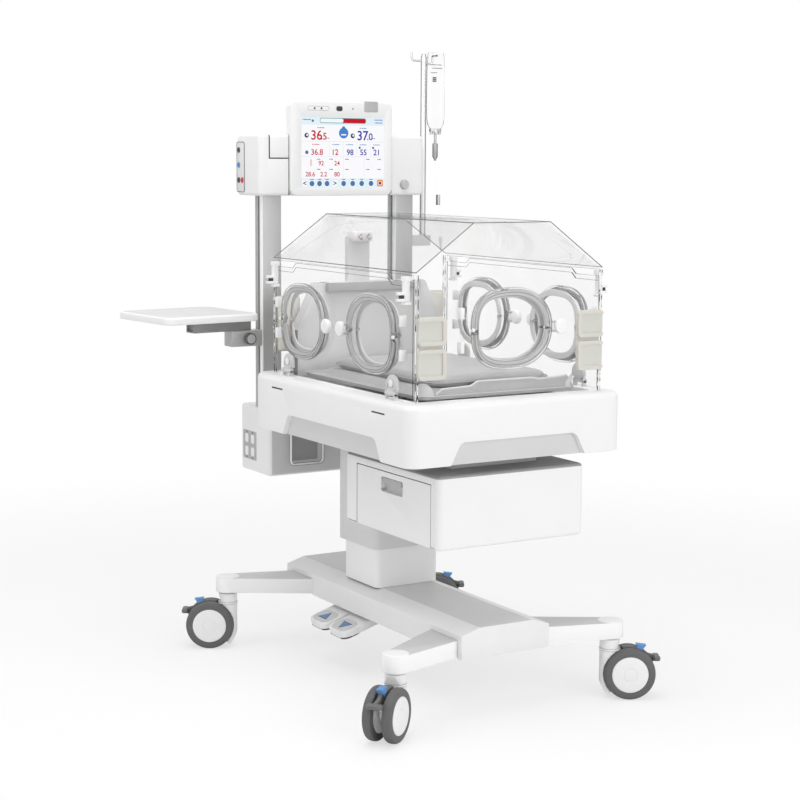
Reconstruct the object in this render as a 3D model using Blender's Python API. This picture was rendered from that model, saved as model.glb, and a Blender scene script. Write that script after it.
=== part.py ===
"""Infant incubator on a height-adjustable trolley.

Metres, +Z up. +X runs towards the foot end, which has the single large port. -Y is the operator's side, with
the drawer and the pedals. The design frame has its origin on the floor under the middle of the hood. At the end
a parent empty moves the whole model, so that the origin lies under the middle of its bounding box.
"""
import math

import bmesh
import bpy
from mathutils import Matrix, Vector

# Clearances
TOUCH = 0.0003          # between pieces that rest on each other
RUN = 0.0005            # radial, a pin in its bore
SLIDE = 0.0010          # between sliding pieces
PAST = 0.01             # how far a cutter passes the surface it cuts
SINK = 0.002            # how deep a joined piece reaches into the other

# Casters
WHEEL_RADIUS = 0.0625
WHEEL_WIDTH = 0.0235
WHEEL_GAP = 0.026
TRAIL = 0.047
AXLE_RADIUS = 0.005
TYRE_ROUND = 0.004
TYRE_SHOULDER = 0.006
TYRE_WALL = 0.015
HUB_RADIUS = 0.010
FORK_RADIUS = 0.0245
FORK_GAP = 0.0045
FORK_CLEAR = 0.002
FORK_GUARD = 0.012
FORK_HUB = 0.017
KINGPIN_RADIUS = 0.008
KINGPIN_RISE = 0.028
KINGPIN_ROOT = 0.004
BRAKE_PIN = 0.0025
BRAKE_EAR = 0.0065
BRAKE_HALF = 0.0042
BRAKE_SHOE = (-0.0095, 0.0025)
BRAKE_PAD_X = (0.058, 0.0745)
BRAKE_PAD_HALF = 0.019
BRAKE_PAD_Z = (0.0295, 0.0415)
BRAKE_TAB_HALF = 0.008
CASTER_STEPS = 20

# Legs and chassis
STEM_HEAD_X = -0.528
STEM_FOOT_X = 0.343
STEM_Y = 0.3015
LEG_BOTTOM = 0.150
LEG_HEIGHT = 0.040
LEG_CAP_RADIUS = 0.0315
LEG_ROOT_WIDTH = 0.118
LEG_ROOT_INSET = 0.022
LEG_TUCK = 0.030
LEG_BRIDGE_INSET = 0.020
BEAM_HALF_WIDTH = 0.123
BEAM_FLAT_HALF = 0.073
BEAM_BOTTOM = 0.147
BEAM_SIDE_HEIGHT = 0.0567
BEAM_CROWN = 0.0153
BEAM_WALL = 0.006
BEAM_END_INSET = 0.003

# Foot pedals
PEDAL_UP_X = -0.2475
PEDAL_DOWN_X = -0.1480
PEDAL_WIDTH = 0.091
PEDAL_THICK = 0.018
PEDAL_SLOPE = 17.0
PEDAL_PIVOT_Y = -0.085
PEDAL_PIVOT_Z = 0.138
PEDAL_REACH = 0.105
PEDAL_HEEL = 0.012
PEDAL_CORNER = 0.022
PEDAL_PIN = 0.003
PEDAL_EAR_HALF = 0.008
PEDAL_EAR_THICK = 0.006
PEDAL_EAR_GAP = 0.004
PEDAL_PLATE_Y = (-0.034, 0.012)
PEDAL_PLATE_Z = (0.014, 0.019)

# Lift column
COLUMN_X = -0.18925
COLUMN_LENGTH = 0.1675
COLUMN_WIDTH = 0.180
COLUMN_WALL = 0.004
COLUMN_TOP = 0.500
SLEEVE_MARGIN = 0.013
SLEEVE_WALL = 0.006
SLEEVE_BOTTOM = 0.321
COLUMN_CORNER = 0.012
SLEEVE_CORNER = 0.018
GUIDE_HEIGHT = 0.030
CARRIAGE_BASE = 0.6425
CARRIAGE_THICK = 0.016
CARRIAGE_HALF_WIDTH = 0.150
CARRIAGE_HEAD_X = -0.590
CARRIAGE_FOOT_X = 0.300
CARRIAGE_ROOT = 0.004
HANGER_INSET = 0.020
HANGER_LENGTH = 0.260
HANGER_HALF_WIDTH = 0.120
STANDOFF_X = 0.24
STANDOFF_Y = 0.11
STANDOFF_RADIUS = 0.016

# Base tray
TRAY_HALF_LENGTH = 0.384
TRAY_HALF_WIDTH = 0.2955
TRAY_BOTTOM = 0.612
TRAY_TOP = 0.7526
TRAY_CORNER = 0.035
TRAY_EDGE_ROUND = 0.015
TRAY_SKIRT = 0.026
TRAY_LEDGE = 0.016
TRAY_FLOOR = 0.695
TRAY_FLOOR_THICK = 0.006
RECESS_DEPTH = 0.013
RECESS_HEIGHT = 0.052
RECESS_SIDE_X = (-0.222, 0.262)
RECESS_END_HALF = 0.187
RECESS_LEAN = 0.010
RECESS_CORNER = 0.022
VENT_X = 0.249
VENT_HALF_LENGTH = 0.029
VENT_DEPTH = 0.004
VENT_BELOW_TOP = (0.0311, 0.0276)
TRAY_NOTCH_GAP = 0.004
STAND_X = (0.0150, 0.0210)
STAND_PIN_HALF = 0.019
STAND_FOOT = (-0.0055, 0.0045)
STAND_RADIUS = 0.0060

# Hood
HOOD_HALF_LENGTH = 0.344
HOOD_HALF_WIDTH = 0.256
EAVE_Z = 1.0435
ROOF_Z = 1.151
ROOF_HALF = 0.105
ACRYLIC = 0.006
PANEL_SIDE = 0.010
PANEL_HEAD = 0.007
PANEL_FOOT = 0.003
PANEL_NOTCH = 0.013
PANEL_NOTCH_X = (0.224, 0.241)
GROMMET_Y = (HOOD_HALF_WIDTH - 0.0745, HOOD_HALF_WIDTH - 0.0035)
GROMMET_Z = ((0.804, 0.8725), (0.8805, 0.944))
GROMMET_PROUD = 0.0125
GROMMET_SEAT = 0.0065

# Ports
PORT_STEPS = 20
PORT_HALF_WIDTH = 0.106
PORT_HALF_HEIGHT = 0.089
PORT_RIM = 0.0135
PORT_OPENING_INSET = 0.017
PORT_COLLAR = 0.010
PORT_COLLAR_WALL = 0.006
PORT_HINGE = 0.136
PORT_LATCH = 0.112
SIDE_PORT_X = 0.165
SIDE_PORT_Z = 0.895
END_PORT_Y = -0.005
END_PORT_Z = 0.911
HINGE_PIN = 0.002
HINGE_OUT = 0.0105
KNUCKLE_RADIUS = 0.0048
KNUCKLE_HALF = 0.024
LEAF_OUT = (0.0070, 0.0140)
LEAF_HALF = 0.020
BARREL_RADIUS = 0.0055
BARREL_SPAN = (0.0255, 0.0510)
BARREL_FOOT = 0.0040
DOOR_SEAT = 0.0008
DOOR_OUT = 0.0180
DOOR_PANE = 0.0080
DOOR_EDGE = 0.0025
LATCH_OUT = 0.0120
LATCH_PIN = 0.0018
LATCH_BARREL = 0.0042
LATCH_BARREL_HALF = 0.0088
LATCH_EAR = (0.0095, 0.0135)
LATCH_ARM = 0.012
PADDLE_RADIUS = 0.0175
PADDLE_REACH = 0.018
PADDLE_OUT = (0.0185, 0.0245)

# Access panels
PIVOT_X = 0.253
PIVOT_Z = 0.7665
PIVOT_OUT = 0.0075
PIVOT_PIN = 0.0025
BRACKET_HALF = 0.036
BRACKET_Z = (0.0080, 0.0385)
BRACKET_CORNER = 0.012
BRACKET_THICK = 0.010
BRACKET_NECK_HALF = 0.0140
BOSS_RISE = 0.0225
BOSS_RADIUS = 0.0090
BOSS_OUT = 0.0130
LATCH_X = 0.318
LATCH_BELOW_EAVE = 0.0655
LATCH_Y_OUT = 0.0095
LATCH_PEG = 0.0030
LATCH_HEIGHT = 0.047
LATCH_HALF = 0.0070
PRONG_THICK = 0.0060
LUG_HALF = 0.009
LUG_THICK = 0.007
LUG_OUT = 0.016

# Deck, mattress tray and mattress
DECK_HEIGHT = 0.030
DECK_CENTRE_GAP = 0.002
DECK_FLOOR = 0.008
DECK_RIM = 0.010
DECK_RIM_HEAD = 0.014
DECK_CORNER = 0.010
BED_HEAD_X = -0.262
BED_FOOT_X = 0.306
BED_HALF_WIDTH = HOOD_HALF_WIDTH - 0.040
BED_Z = 0.752
BED_FLANGE = 0.008
BED_PLATFORM = 0.012
BED_CORNER = 0.030
BED_PLATFORM_INSET = 0.030
BED_PLATFORM_TAPER = 0.014
BED_PLATFORM_SHIFT = 0.020
BED_LIP = (
    (-0.176, 0.004),
    (-0.176, 0.010),
    (-0.160, 0.022),
    (-0.082, 0.025),
    (-0.062, 0.035),
    (0.085, 0.035),
    (0.110, 0.031),
    (0.188, 0.035),
    (0.206, 0.010),
    (0.206, 0.004),
)
BED_LIP_X = (0.007, 0.002)
MATTRESS_THICK = 0.024
MATTRESS_INSET = 0.052
MATTRESS_SHIFT = 0.026
MATTRESS_CORNER = 0.030
TILT_X = 0.028
TILT_Z = 0.741
TILT_PIN = 0.004
TILT_EAR_Y = (0.093, 0.105)
TILT_EAR_HALF = 0.011
TILT_EAR_ABOVE = 0.0065
TILT_RIB_HALF = 0.006
DUCT_HALF_WIDTH = 0.216
DUCT_SHOULDER = 0.861
DUCT_TAPER = 0.056
DUCT_TOP = 0.977
DUCT_THICK = 0.036
DUCT_LEDGE_HALF = 0.135
DUCT_LEDGE_REACH = 0.018
DUCT_LEDGE_HEIGHT = 0.020
TOWER_Y = (-0.0635, -0.0015)
TOWER_TOP = 1.092
TOWER_X = (0.006, 0.024)
SENSOR_X = (0.002, 0.052)
SENSOR_Y = (-0.0600, -0.0050)
SENSOR_Z = (1.080, 1.107)

# Cabinet and drawer
CABINET_HEAD_X = -0.0686
CABINET_FOOT_X = 0.361
CABINET_HALF_WIDTH = 0.203
CABINET_BOTTOM = 0.4135
CABINET_TOP = 0.585
CABINET_CORNER = 0.014
CABINET_EDGE = 0.006
CABINET_BACK = 0.010
DRAWER_HEAD_X = -0.0076
DRAWER_FOOT_X = 0.327
DRAWER_BOTTOM = 0.4183
DRAWER_TOP = 0.5619
DRAWER_FRONT = 0.018
DRAWER_BACK_GAP = 0.046
DRAWER_WALL = 0.003
TUB_SIDE_GAP = 0.006
TUB_BELOW_TOP = 0.014
PULL_X = (0.106, 0.205)
PULL_Z = (0.514, 0.549)
PULL_DEPTH = 0.012
GRIP_HEIGHT = 0.012
GRIP_THICK = 0.004

# Power box at the head end
BOX_HEAD_X = -0.595
BOX_FOOT_X = -0.427
BOX_HALF_WIDTH = 0.2285
BOX_BOTTOM = 0.466
BOX_TOP = 0.642
BOX_EDGE = 0.006
SOCKET_X = (-0.5790, -0.5010)
SOCKET_Z = (0.4970, 0.5736)
SOCKET_DEPTH = 0.003
RAIL_RADIUS = 0.004
RAIL_Y = (-0.173, -0.079)
RAIL_Z = (0.496, 0.600)
RAIL_OUT = 0.017
RAIL_ROOT = 0.006
RAIL_BEND = 0.012

# Posts and control beam
POST_X = (-0.507, -0.465)
POST_Y = (0.171, 0.228)
POST_SLOT = 0.010
POST_SLOT_DEPTH = 0.008
POST_CORNER = 0.004
CONTROL_X = (-0.575, -0.441)
CONTROL_HALF = 0.246
CONTROL_Z = (1.194, 1.351)
CONTROL_EDGE = 0.010
SEAM_Y = -0.218
SEAM_Z = 1.290
SEAM_HALF = 0.001
SEAM_DEPTH = 0.003
MONITOR_FACE_X = -0.430
MONITOR_THICK = 0.030
MONITOR_Y = (-0.161, 0.140)
MONITOR_Z = (1.194, 1.437)
MONITOR_CORNER = 0.016
MONITOR_GAP = 0.002
SCREEN_Y = (-0.1315, 0.1155)
SCREEN_Z = (1.2185, 1.3985)
SCREEN_DEPTH = 0.0015
LAMP_X = (0.024, 0.002)
LAMP_Y = (0.055, 0.096)
LAMP_BOTTOM = 1.412
LAMP_RISE = 0.002
KNOB_Y = 0.184
KNOB_Z = 1.2225
KNOB_RADIUS = 0.0125
KNOB_OUT = 0.0090
KNOB_SHAFT = 0.004
KNOB_SHAFT_DEPTH = 0.012

# Shelf
SHELF_TOP = 0.900
SHELF_THICK = 0.019
SHELF_LENGTH = 0.260
SHELF_WIDTH = 0.272
SHELF_OFFSET = (-0.0135, -0.1525)
SHELF_PIVOT = (-0.486, -0.275)
SHELF_TURN = 6.2
ARM_HALF_WIDTH = 0.020
ARM_REACH = 0.156
ARM_HEIGHT = 0.033
ARM_HEEL = 0.014
SHELF_CORNER = 0.024
SHELF_EDGE = 0.004
SHELF_PIN = 0.006
CLAMP_HEIGHT = 0.041
CLAMP_REACH = 0.041
CLAMP_MARGIN = 0.001
CLAMP_KNOB_RADIUS = 0.0150
CLAMP_KNOB_X = (0.0020, 0.016)
CLAMP_KNOB_SHIFT = 0.008
CLAMP_SHAFT = 0.005
CLAMP_SHAFT_DEPTH = 0.018

# Infusion pole and bag
POLE_X = -0.486
POLE_Y = 0.271
POLE_RADIUS = 0.0078
POLE_BOTTOM = 1.056
POLE_TOP = 1.575
POLE_CLAMP_HALF = 0.017
POLE_CLAMP_REACH = 0.016
POLE_CLAMP_HEIGHT = 0.028
POLE_SEAT = 0.004
POLE_TIP = 0.010
POLE_TIP_STEP = 0.002
HOOK_RADIUS = 0.0025
HOOK_BELOW_EYE = 0.014
HOOK_STEP = 0.010
INNER_HOOK = 0.038
OUTER_HOOK = 0.012
BAG_X = -0.466
BAG_Y = 0.297
BAG_WIDTH = 0.058
BAG_THICK = 0.020
BAG_EYE_BELOW_TOP = 0.009
BAG_LENGTH = 0.194
BAG_NECK = 0.016
BAG_HEM = 0.010
BAG_SEAM_HALF = 0.002
BAG_EYE_MARGIN = 0.0012
BAG_PORT = (0.0062, 0.012, 0.004)
SPIKE = (0.0035, 0.040, 0.010)
CHAMBER = (0.0075, 0.078, 0.039)
OUTLET = (0.0030, 0.087, 0.077)
LINE_RADIUS = 0.0016
LINE_COURSE = (
    (0.0, 0.0873),
    (0.0025, 0.122),
    (0.0075, 0.172),
    (0.0135, 0.222),
    (0.0190, 0.267),
    (0.0210, 0.2917),
)
CONNECTOR_LENGTH = 0.037
CONNECTOR_BODY = 0.55
CONNECTOR_RADIUS = 0.0042
CONNECTOR_TIP = 0.0028

# Values that follow from the driving dimensions
LEG_TOP = LEG_BOTTOM + LEG_HEIGHT
FORK_TOP = LEG_BOTTOM - FORK_GAP
BEAM_SIDE_TOP = BEAM_BOTTOM + BEAM_SIDE_HEIGHT
BEAM_TOP = BEAM_SIDE_TOP + BEAM_CROWN
BEAM_HEAD_X = STEM_HEAD_X - BEAM_END_INSET
BEAM_FOOT_X = STEM_FOOT_X - BEAM_END_INSET
SLEEVE_TOP = CARRIAGE_BASE
CARRIAGE_TOP = CARRIAGE_BASE + CARRIAGE_THICK
DECK_BASE = TRAY_FLOOR + TRAY_FLOOR_THICK + TOUCH
HOOD_BASE = TRAY_TOP + TOUCH
PIVOT_Y = HOOD_HALF_WIDTH + PIVOT_OUT
LATCH_Z = EAVE_Z - LATCH_BELOW_EAVE
MATTRESS_BASE = BED_Z + BED_FLANGE + BED_PLATFORM + TOUCH
DRAWER_DEPTH = 2 * CABINET_HALF_WIDTH - DRAWER_BACK_GAP
BAG_EYE_Z = POLE_TOP - BAG_EYE_BELOW_TOP
BAG_BOTTOM = BAG_EYE_Z - BAG_LENGTH
LINE_POINTS = [(BAG_X, BAG_Y + out, BAG_BOTTOM - drop) for out, drop in LINE_COURSE]

COLOURS = {
    "white_plastic": ((0.86, 0.87, 0.87), 0.35, 0.0, 0.0),
    "white_metal": ((0.83, 0.84, 0.84), 0.40, 0.0, 0.0),
    "grey_plastic": ((0.55, 0.56, 0.56), 0.50, 0.0, 0.0),
    "grey_metal": ((0.58, 0.59, 0.59), 0.35, 0.6, 0.0),
    "dark_rubber": ((0.12, 0.12, 0.13), 0.70, 0.0, 0.0),
    "clear_acrylic": ((0.92, 0.95, 0.95), 0.05, 0.0, 0.9),
    "cream_rubber": ((0.80, 0.77, 0.70), 0.60, 0.0, 0.0),
    "grey_fabric": ((0.66, 0.67, 0.66), 0.80, 0.0, 0.0),
    "chrome": ((0.80, 0.80, 0.82), 0.10, 1.0, 0.0),
    "clear_film": ((0.90, 0.93, 0.94), 0.15, 0.0, 0.8),
}


# Scene set-up

def empty_scene():
    for obj in list(bpy.data.objects):
        bpy.data.objects.remove(obj, do_unlink=True)


def material(name):
    found = bpy.data.materials.get(name)
    if found:
        return found
    colour, roughness, metallic, transmission = COLOURS[name]
    made = bpy.data.materials.new(name)
    made.use_nodes = True
    shader = made.node_tree.nodes["Principled BSDF"]
    shader.inputs["Base Color"].default_value = (*colour, 1.0)
    shader.inputs["Roughness"].default_value = roughness
    shader.inputs["Metallic"].default_value = metallic
    shader.inputs["Transmission Weight"].default_value = transmission
    return made


def finish(name, shape, colour, origin=(0.0, 0.0, 0.0)):
    """Make the named object from a shape in design coordinates, with its origin where its joint is."""
    bmesh.ops.remove_doubles(shape, verts=shape.verts, dist=1e-6)
    bmesh.ops.dissolve_limit(shape, angle_limit=math.radians(0.2), verts=shape.verts, edges=shape.edges)
    bmesh.ops.translate(shape, verts=shape.verts, vec=-Vector(origin))
    mesh = bpy.data.meshes.new(name)
    shape.to_mesh(mesh)
    shape.free()
    mesh.shade_smooth()
    mesh.set_sharp_from_angle(angle=math.radians(35))
    mesh.materials.append(material(colour))
    obj = bpy.data.objects.new(name, mesh)
    obj.location = origin
    bpy.context.scene.collection.objects.link(obj)
    return obj


# Shapes: each function gives a closed bmesh in design coordinates

AXES = {"x": (1, 2, 0), "y": (0, 2, 1), "z": (0, 1, 2)}


def prism(outline, start, end, axis="z"):
    """Extrude a 2-D outline along an axis. The outline's coordinates are the other two, in x, y, z order."""
    first, second, along = AXES[axis]
    shape = bmesh.new()
    rings = []
    for level in (start, end):
        ring = []
        for u, v in outline:
            point = [0.0, 0.0, 0.0]
            point[first], point[second], point[along] = u, v, level
            ring.append(shape.verts.new(point))
        rings.append(ring)
    shape.faces.new(rings[0])
    shape.faces.new(rings[1])
    for index in range(len(outline)):
        following = (index + 1) % len(outline)
        corners = (rings[0][index], rings[0][following], rings[1][following], rings[1][index])
        shape.faces.new(corners)
    bmesh.ops.recalc_face_normals(shape, faces=shape.faces)
    return shape


def box(x, y, z):
    return prism(((x[0], y[0]), (x[1], y[0]), (x[1], y[1]), (x[0], y[1])), z[0], z[1])


def arc(centre, radius, start, end, steps):
    points = []
    for index in range(steps + 1):
        angle = math.radians(start + (end - start) * index / steps)
        points.append((centre[0] + radius * math.cos(angle), centre[1] + radius * math.sin(angle)))
    return points


def rounded(x, y, radius, steps=4):
    """A rectangle's outline with round corners."""
    corners = ((x[1], y[1], 0), (x[0], y[1], 90), (x[0], y[0], 180), (x[1], y[0], 270))
    outline = []
    for corner_x, corner_y, start in corners:
        side_x = -1 if corner_x == x[1] else 1
        side_y = -1 if corner_y == y[1] else 1
        centre = (corner_x + side_x * radius, corner_y + side_y * radius)
        outline += arc(centre, radius, start, start + 90, steps)
    return outline


def soft_box(x, y, z, radius, steps=2):
    """A box with every edge rounded."""
    shape = box(x, y, z)
    bmesh.ops.bevel(shape, geom=shape.edges[:], offset=radius, segments=steps, profile=0.5, affect="EDGES")
    return shape


def rod(centre, radius, start, end, axis="z", steps=16):
    turn = 180.0 / steps
    outline = arc(centre, radius, turn, 360.0 - turn, steps - 1)
    return prism(outline, start, end, axis)


def loft(rings):
    """Skin closed rings of equal length and cap both ends."""
    shape = bmesh.new()
    made = [[shape.verts.new(point) for point in ring] for ring in rings]
    shape.faces.new(made[0])
    shape.faces.new(made[-1])
    for lower, upper in zip(made, made[1:]):
        for index in range(len(lower)):
            following = (index + 1) % len(lower)
            shape.faces.new((lower[index], lower[following], upper[following], upper[index]))
    bmesh.ops.recalc_face_normals(shape, faces=shape.faces)
    return shape


def turned(profile, steps):
    """Turn (radius, height) points about Z, with the first and last points on the axis side as flat caps."""
    rings = []
    for radius, height in profile:
        rings.append([(x, y, height) for x, y in arc((0, 0), radius, 0, 360 - 360 / steps, steps - 1)])
    return loft(rings)


def combine(first, second, operation):
    objects = []
    for shape in (first, second):
        mesh = bpy.data.meshes.new("working")
        shape.to_mesh(mesh)
        shape.free()
        obj = bpy.data.objects.new("working", mesh)
        bpy.context.scene.collection.objects.link(obj)
        objects.append(obj)
    modifier = objects[0].modifiers.new("combine", "BOOLEAN")
    modifier.operation = operation
    modifier.object = objects[1]
    result = bmesh.new()
    result.from_object(objects[0], bpy.context.evaluated_depsgraph_get())
    for obj in objects:
        mesh = obj.data
        bpy.data.objects.remove(obj)
        bpy.data.meshes.remove(mesh)
    bmesh.ops.remove_doubles(result, verts=result.verts, dist=1e-6)
    return result


def cut(shape, *tools):
    for tool in tools:
        shape = combine(shape, tool, "DIFFERENCE")
    return shape


def join(shape, *others):
    for other in others:
        shape = combine(shape, other, "UNION")
    return shape


def common(shape, other):
    return combine(shape, other, "INTERSECT")


def moved(shape, matrix):
    bmesh.ops.transform(shape, matrix=matrix, verts=shape.verts)
    return shape


def level_edges(shape):
    """The edges that lie flat, which are a prism's rims."""
    return [edge for edge in shape.edges if abs(edge.verts[0].co.z - edge.verts[1].co.z) < 1e-6]


def turned_about_z(angle, x, y, z=0.0):
    return Matrix.Translation((x, y, z)) @ Matrix.Rotation(math.radians(angle), 4, "Z")


# Casters. In a caster's own frame the swivel axis is Z and the wheel trails towards +X.

CASTERS = {
    "foot_left": (STEM_FOOT_X, -STEM_Y, -55.0),
    "foot_right": (STEM_FOOT_X, STEM_Y, 60.0),
    "head_left": (STEM_HEAD_X, -STEM_Y, -120.0),
    "head_right": (STEM_HEAD_X, STEM_Y, 60.0),
}
BRAKE_PIVOT = (TRAIL + 0.024, WHEEL_RADIUS + 0.026)
WEB_HALF = WHEEL_GAP / 2 - 0.0025


def around_axle(radius, angle):
    """A point in the caster's X-Z plane, from the axle. The stem side is at 180 degrees."""
    turn = math.radians(angle)
    return TRAIL + radius * math.cos(turn), WHEEL_RADIUS + radius * math.sin(turn)


def from_axle(*offsets):
    """Points in the caster's X-Z plane that are given along and above the axle."""
    return [(TRAIL + along, WHEEL_RADIUS + above) for along, above in offsets]


def wheel_shape():
    inner = WHEEL_GAP / 2
    outer = inner + WHEEL_WIDTH
    side = (
        (AXLE_RADIUS, inner),
        (WHEEL_RADIUS - TYRE_ROUND, inner),
        (WHEEL_RADIUS, inner + TYRE_ROUND),
        (WHEEL_RADIUS, outer - TYRE_SHOULDER),
        (WHEEL_RADIUS - TYRE_SHOULDER, outer),
        (WHEEL_RADIUS - TYRE_WALL, outer - 0.0015),
        (HUB_RADIUS, outer - 0.0002),
    )
    mirrored = [(radius, -height) for radius, height in reversed(side)]
    shape = turned(mirrored + list(side), CASTER_STEPS)
    lay_down = Matrix.Translation((TRAIL, 0, WHEEL_RADIUS)) @ Matrix.Rotation(math.radians(90), 4, "X")
    return moved(shape, lay_down)


def fork_shape():
    clear = WHEEL_RADIUS + FORK_CLEAR
    guard = WHEEL_RADIUS + FORK_GUARD
    side = [(TRAIL - FORK_RADIUS + 0.002, FORK_TOP), (-FORK_RADIUS - 0.001, FORK_TOP)]
    side += [around_axle(guard, angle) for angle in (180, 195, 210, 225)]
    side += [around_axle(clear, angle) for angle in (225, 210, 195, 180, 165, 150, 135, 120)]
    stem = rod((0, 0), FORK_RADIUS, 0.004, FORK_TOP, steps=20)
    shell = common(prism(side, -FORK_RADIUS, FORK_RADIUS, "y"), stem)
    web_side = [around_axle(clear + SINK, angle) for angle in (118, 135, 180, 210, 228)]
    web_side += [around_axle(FORK_HUB, angle) for angle in (270, 315, 0, 20)]
    ear = arc(BRAKE_PIVOT, BRAKE_EAR, -50, 110, 5)
    web = prism(web_side + ear, -WEB_HALF, WEB_HALF, "y")
    room_low, room_high = from_axle((-0.021, 0.0178), (0.04, 0.07))
    brake_room = box((room_low[0], room_high[0]), (-BRAKE_HALF - RUN, BRAKE_HALF + RUN),
                     (room_low[1], room_high[1]))
    web = cut(web, brake_room)
    web = join(web, rod(BRAKE_PIVOT, BRAKE_PIN, -WEB_HALF + 0.001, WEB_HALF - 0.001, "y", 10))
    kingpin = rod((0, 0), KINGPIN_RADIUS, FORK_TOP - KINGPIN_ROOT, FORK_TOP + KINGPIN_RISE, steps=16)
    fork = join(shell, web, kingpin)
    return cut(fork, rod((TRAIL, WHEEL_RADIUS), AXLE_RADIUS + RUN, -FORK_RADIUS, FORK_RADIUS, "y", 16))


def brake_shape():
    """A lever between the wheels with a curved shoe, a blue tab to release it and a wide pad to press."""
    low, high = WHEEL_RADIUS + BRAKE_SHOE[0], WHEEL_RADIUS + BRAKE_SHOE[1]
    plate = [around_axle(low, angle) for angle in (106, 92)]
    plate += from_axle((0.014, 0.030), (0.015, 0.0195), (0.033, 0.0195), (0.056, 0.024), (0.066, 0.030),
                       (0.066, 0.041))
    plate += [around_axle(high, angle) for angle in (45, 60, 75, 90, 106)]
    shape = prism(plate, -BRAKE_HALF, BRAKE_HALF, "y")
    shoe = [around_axle(high - 0.001, angle) for angle in (62, 75, 90, 105)]
    shoe += [around_axle(low + SINK, angle) for angle in (105, 90, 75, 62)]
    half_shoe = WEB_HALF - 0.001
    shape = join(shape, prism(shoe, -half_shoe, half_shoe, "y"))
    pad = soft_box([TRAIL + along for along in BRAKE_PAD_X], (-BRAKE_PAD_HALF, BRAKE_PAD_HALF),
                   [WHEEL_RADIUS + above for above in BRAKE_PAD_Z], 0.003, 1)
    tab = from_axle((0.021, 0.056), (0.030, 0.052), (0.041, 0.067), (0.016, 0.070))
    shape = join(shape, pad, prism(tab, -BRAKE_TAB_HALF, BRAKE_TAB_HALF, "y"))
    return cut(shape, rod(BRAKE_PIVOT, BRAKE_PIN + RUN, -FORK_RADIUS, FORK_RADIUS, "y", 10))


def make_casters():
    for place, (x, y, angle) in CASTERS.items():
        frame = turned_about_z(angle, x, y)
        axle = frame @ Vector((TRAIL, 0, WHEEL_RADIUS))
        pivot = frame @ Vector((BRAKE_PIVOT[0], 0, BRAKE_PIVOT[1]))
        finish(f"caster_fork_{place}", moved(fork_shape(), frame), "white_plastic", (x, y, FORK_TOP))
        finish(f"caster_wheels_{place}", moved(wheel_shape(), frame), "dark_rubber", axle)
        finish(f"caster_brake_{place}", moved(brake_shape(), frame), "dark_rubber", pivot)


# Chassis

def leg_outline(stem_x, inward):
    """Plan of one leg on the -Y side. Inward is -1 at the foot end and +1 at the head end."""
    root_near = stem_x + inward * LEG_ROOT_INSET
    root_far = root_near + inward * LEG_ROOT_WIDTH
    root_y = -BEAM_HALF_WIDTH + LEG_TUCK
    round_end = arc((stem_x, -STEM_Y), LEG_CAP_RADIUS, 180, 360, 8)
    if inward > 0:
        round_end.reverse()
    return [(root_far, root_y), (root_far, -BEAM_HALF_WIDTH)] + round_end + [
        (root_near, -BEAM_HALF_WIDTH), (root_near, root_y)]


def leg_shape(stem_x, inward):
    """Both legs of one end, one casting that passes under the beam's shell."""
    left = leg_outline(stem_x, inward)
    root = sorted((left[0][0], left[-1][0]))
    shape = prism(left, LEG_BOTTOM, LEG_TOP)
    right = [(x, -y) for x, y in left]
    shape = join(shape, prism(right, LEG_BOTTOM, LEG_TOP))
    bridge = BEAM_HALF_WIDTH - LEG_BRIDGE_INSET
    shape = join(shape, box(root, (-bridge, bridge), (LEG_BOTTOM, LEG_TOP)))
    for side in (-1, 1):
        bore_top = FORK_TOP + KINGPIN_RISE + 0.002
        bore = rod((stem_x, side * STEM_Y), KINGPIN_RADIUS + RUN, LEG_BOTTOM - PAST, bore_top)
        shape = cut(shape, bore)
    return shape


def beam_shape():
    def profile(wall):
        half, flat = BEAM_HALF_WIDTH - wall, BEAM_FLAT_HALF
        low = BEAM_BOTTOM - (PAST if wall else 0.0)
        return ((-half, low), (half, low), (half, BEAM_SIDE_TOP - wall / 2), (flat, BEAM_TOP - wall),
                (-flat, BEAM_TOP - wall), (-half, BEAM_SIDE_TOP - wall / 2))
    shape = prism(profile(0.0), BEAM_HEAD_X, BEAM_FOOT_X, "x")
    shape = cut(shape, prism(profile(BEAM_WALL), BEAM_HEAD_X + BEAM_WALL, BEAM_FOOT_X - BEAM_WALL, "x"))
    for stem_x, inward in ((STEM_FOOT_X, -1), (STEM_HEAD_X, 1)):
        edges = [stem_x + inward * (LEG_ROOT_INSET - SLIDE / 2)]
        edges.append(stem_x + inward * (LEG_ROOT_INSET + LEG_ROOT_WIDTH + SLIDE / 2))
        across = BEAM_HALF_WIDTH + PAST
        notch = box(sorted(edges), (-across, across), (BEAM_BOTTOM - PAST, LEG_TOP + TOUCH))
        shape = cut(shape, notch)
    return join(shape, pedal_bracket())


PEDAL_CENTRES = {"up": PEDAL_UP_X, "down": PEDAL_DOWN_X}


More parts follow.
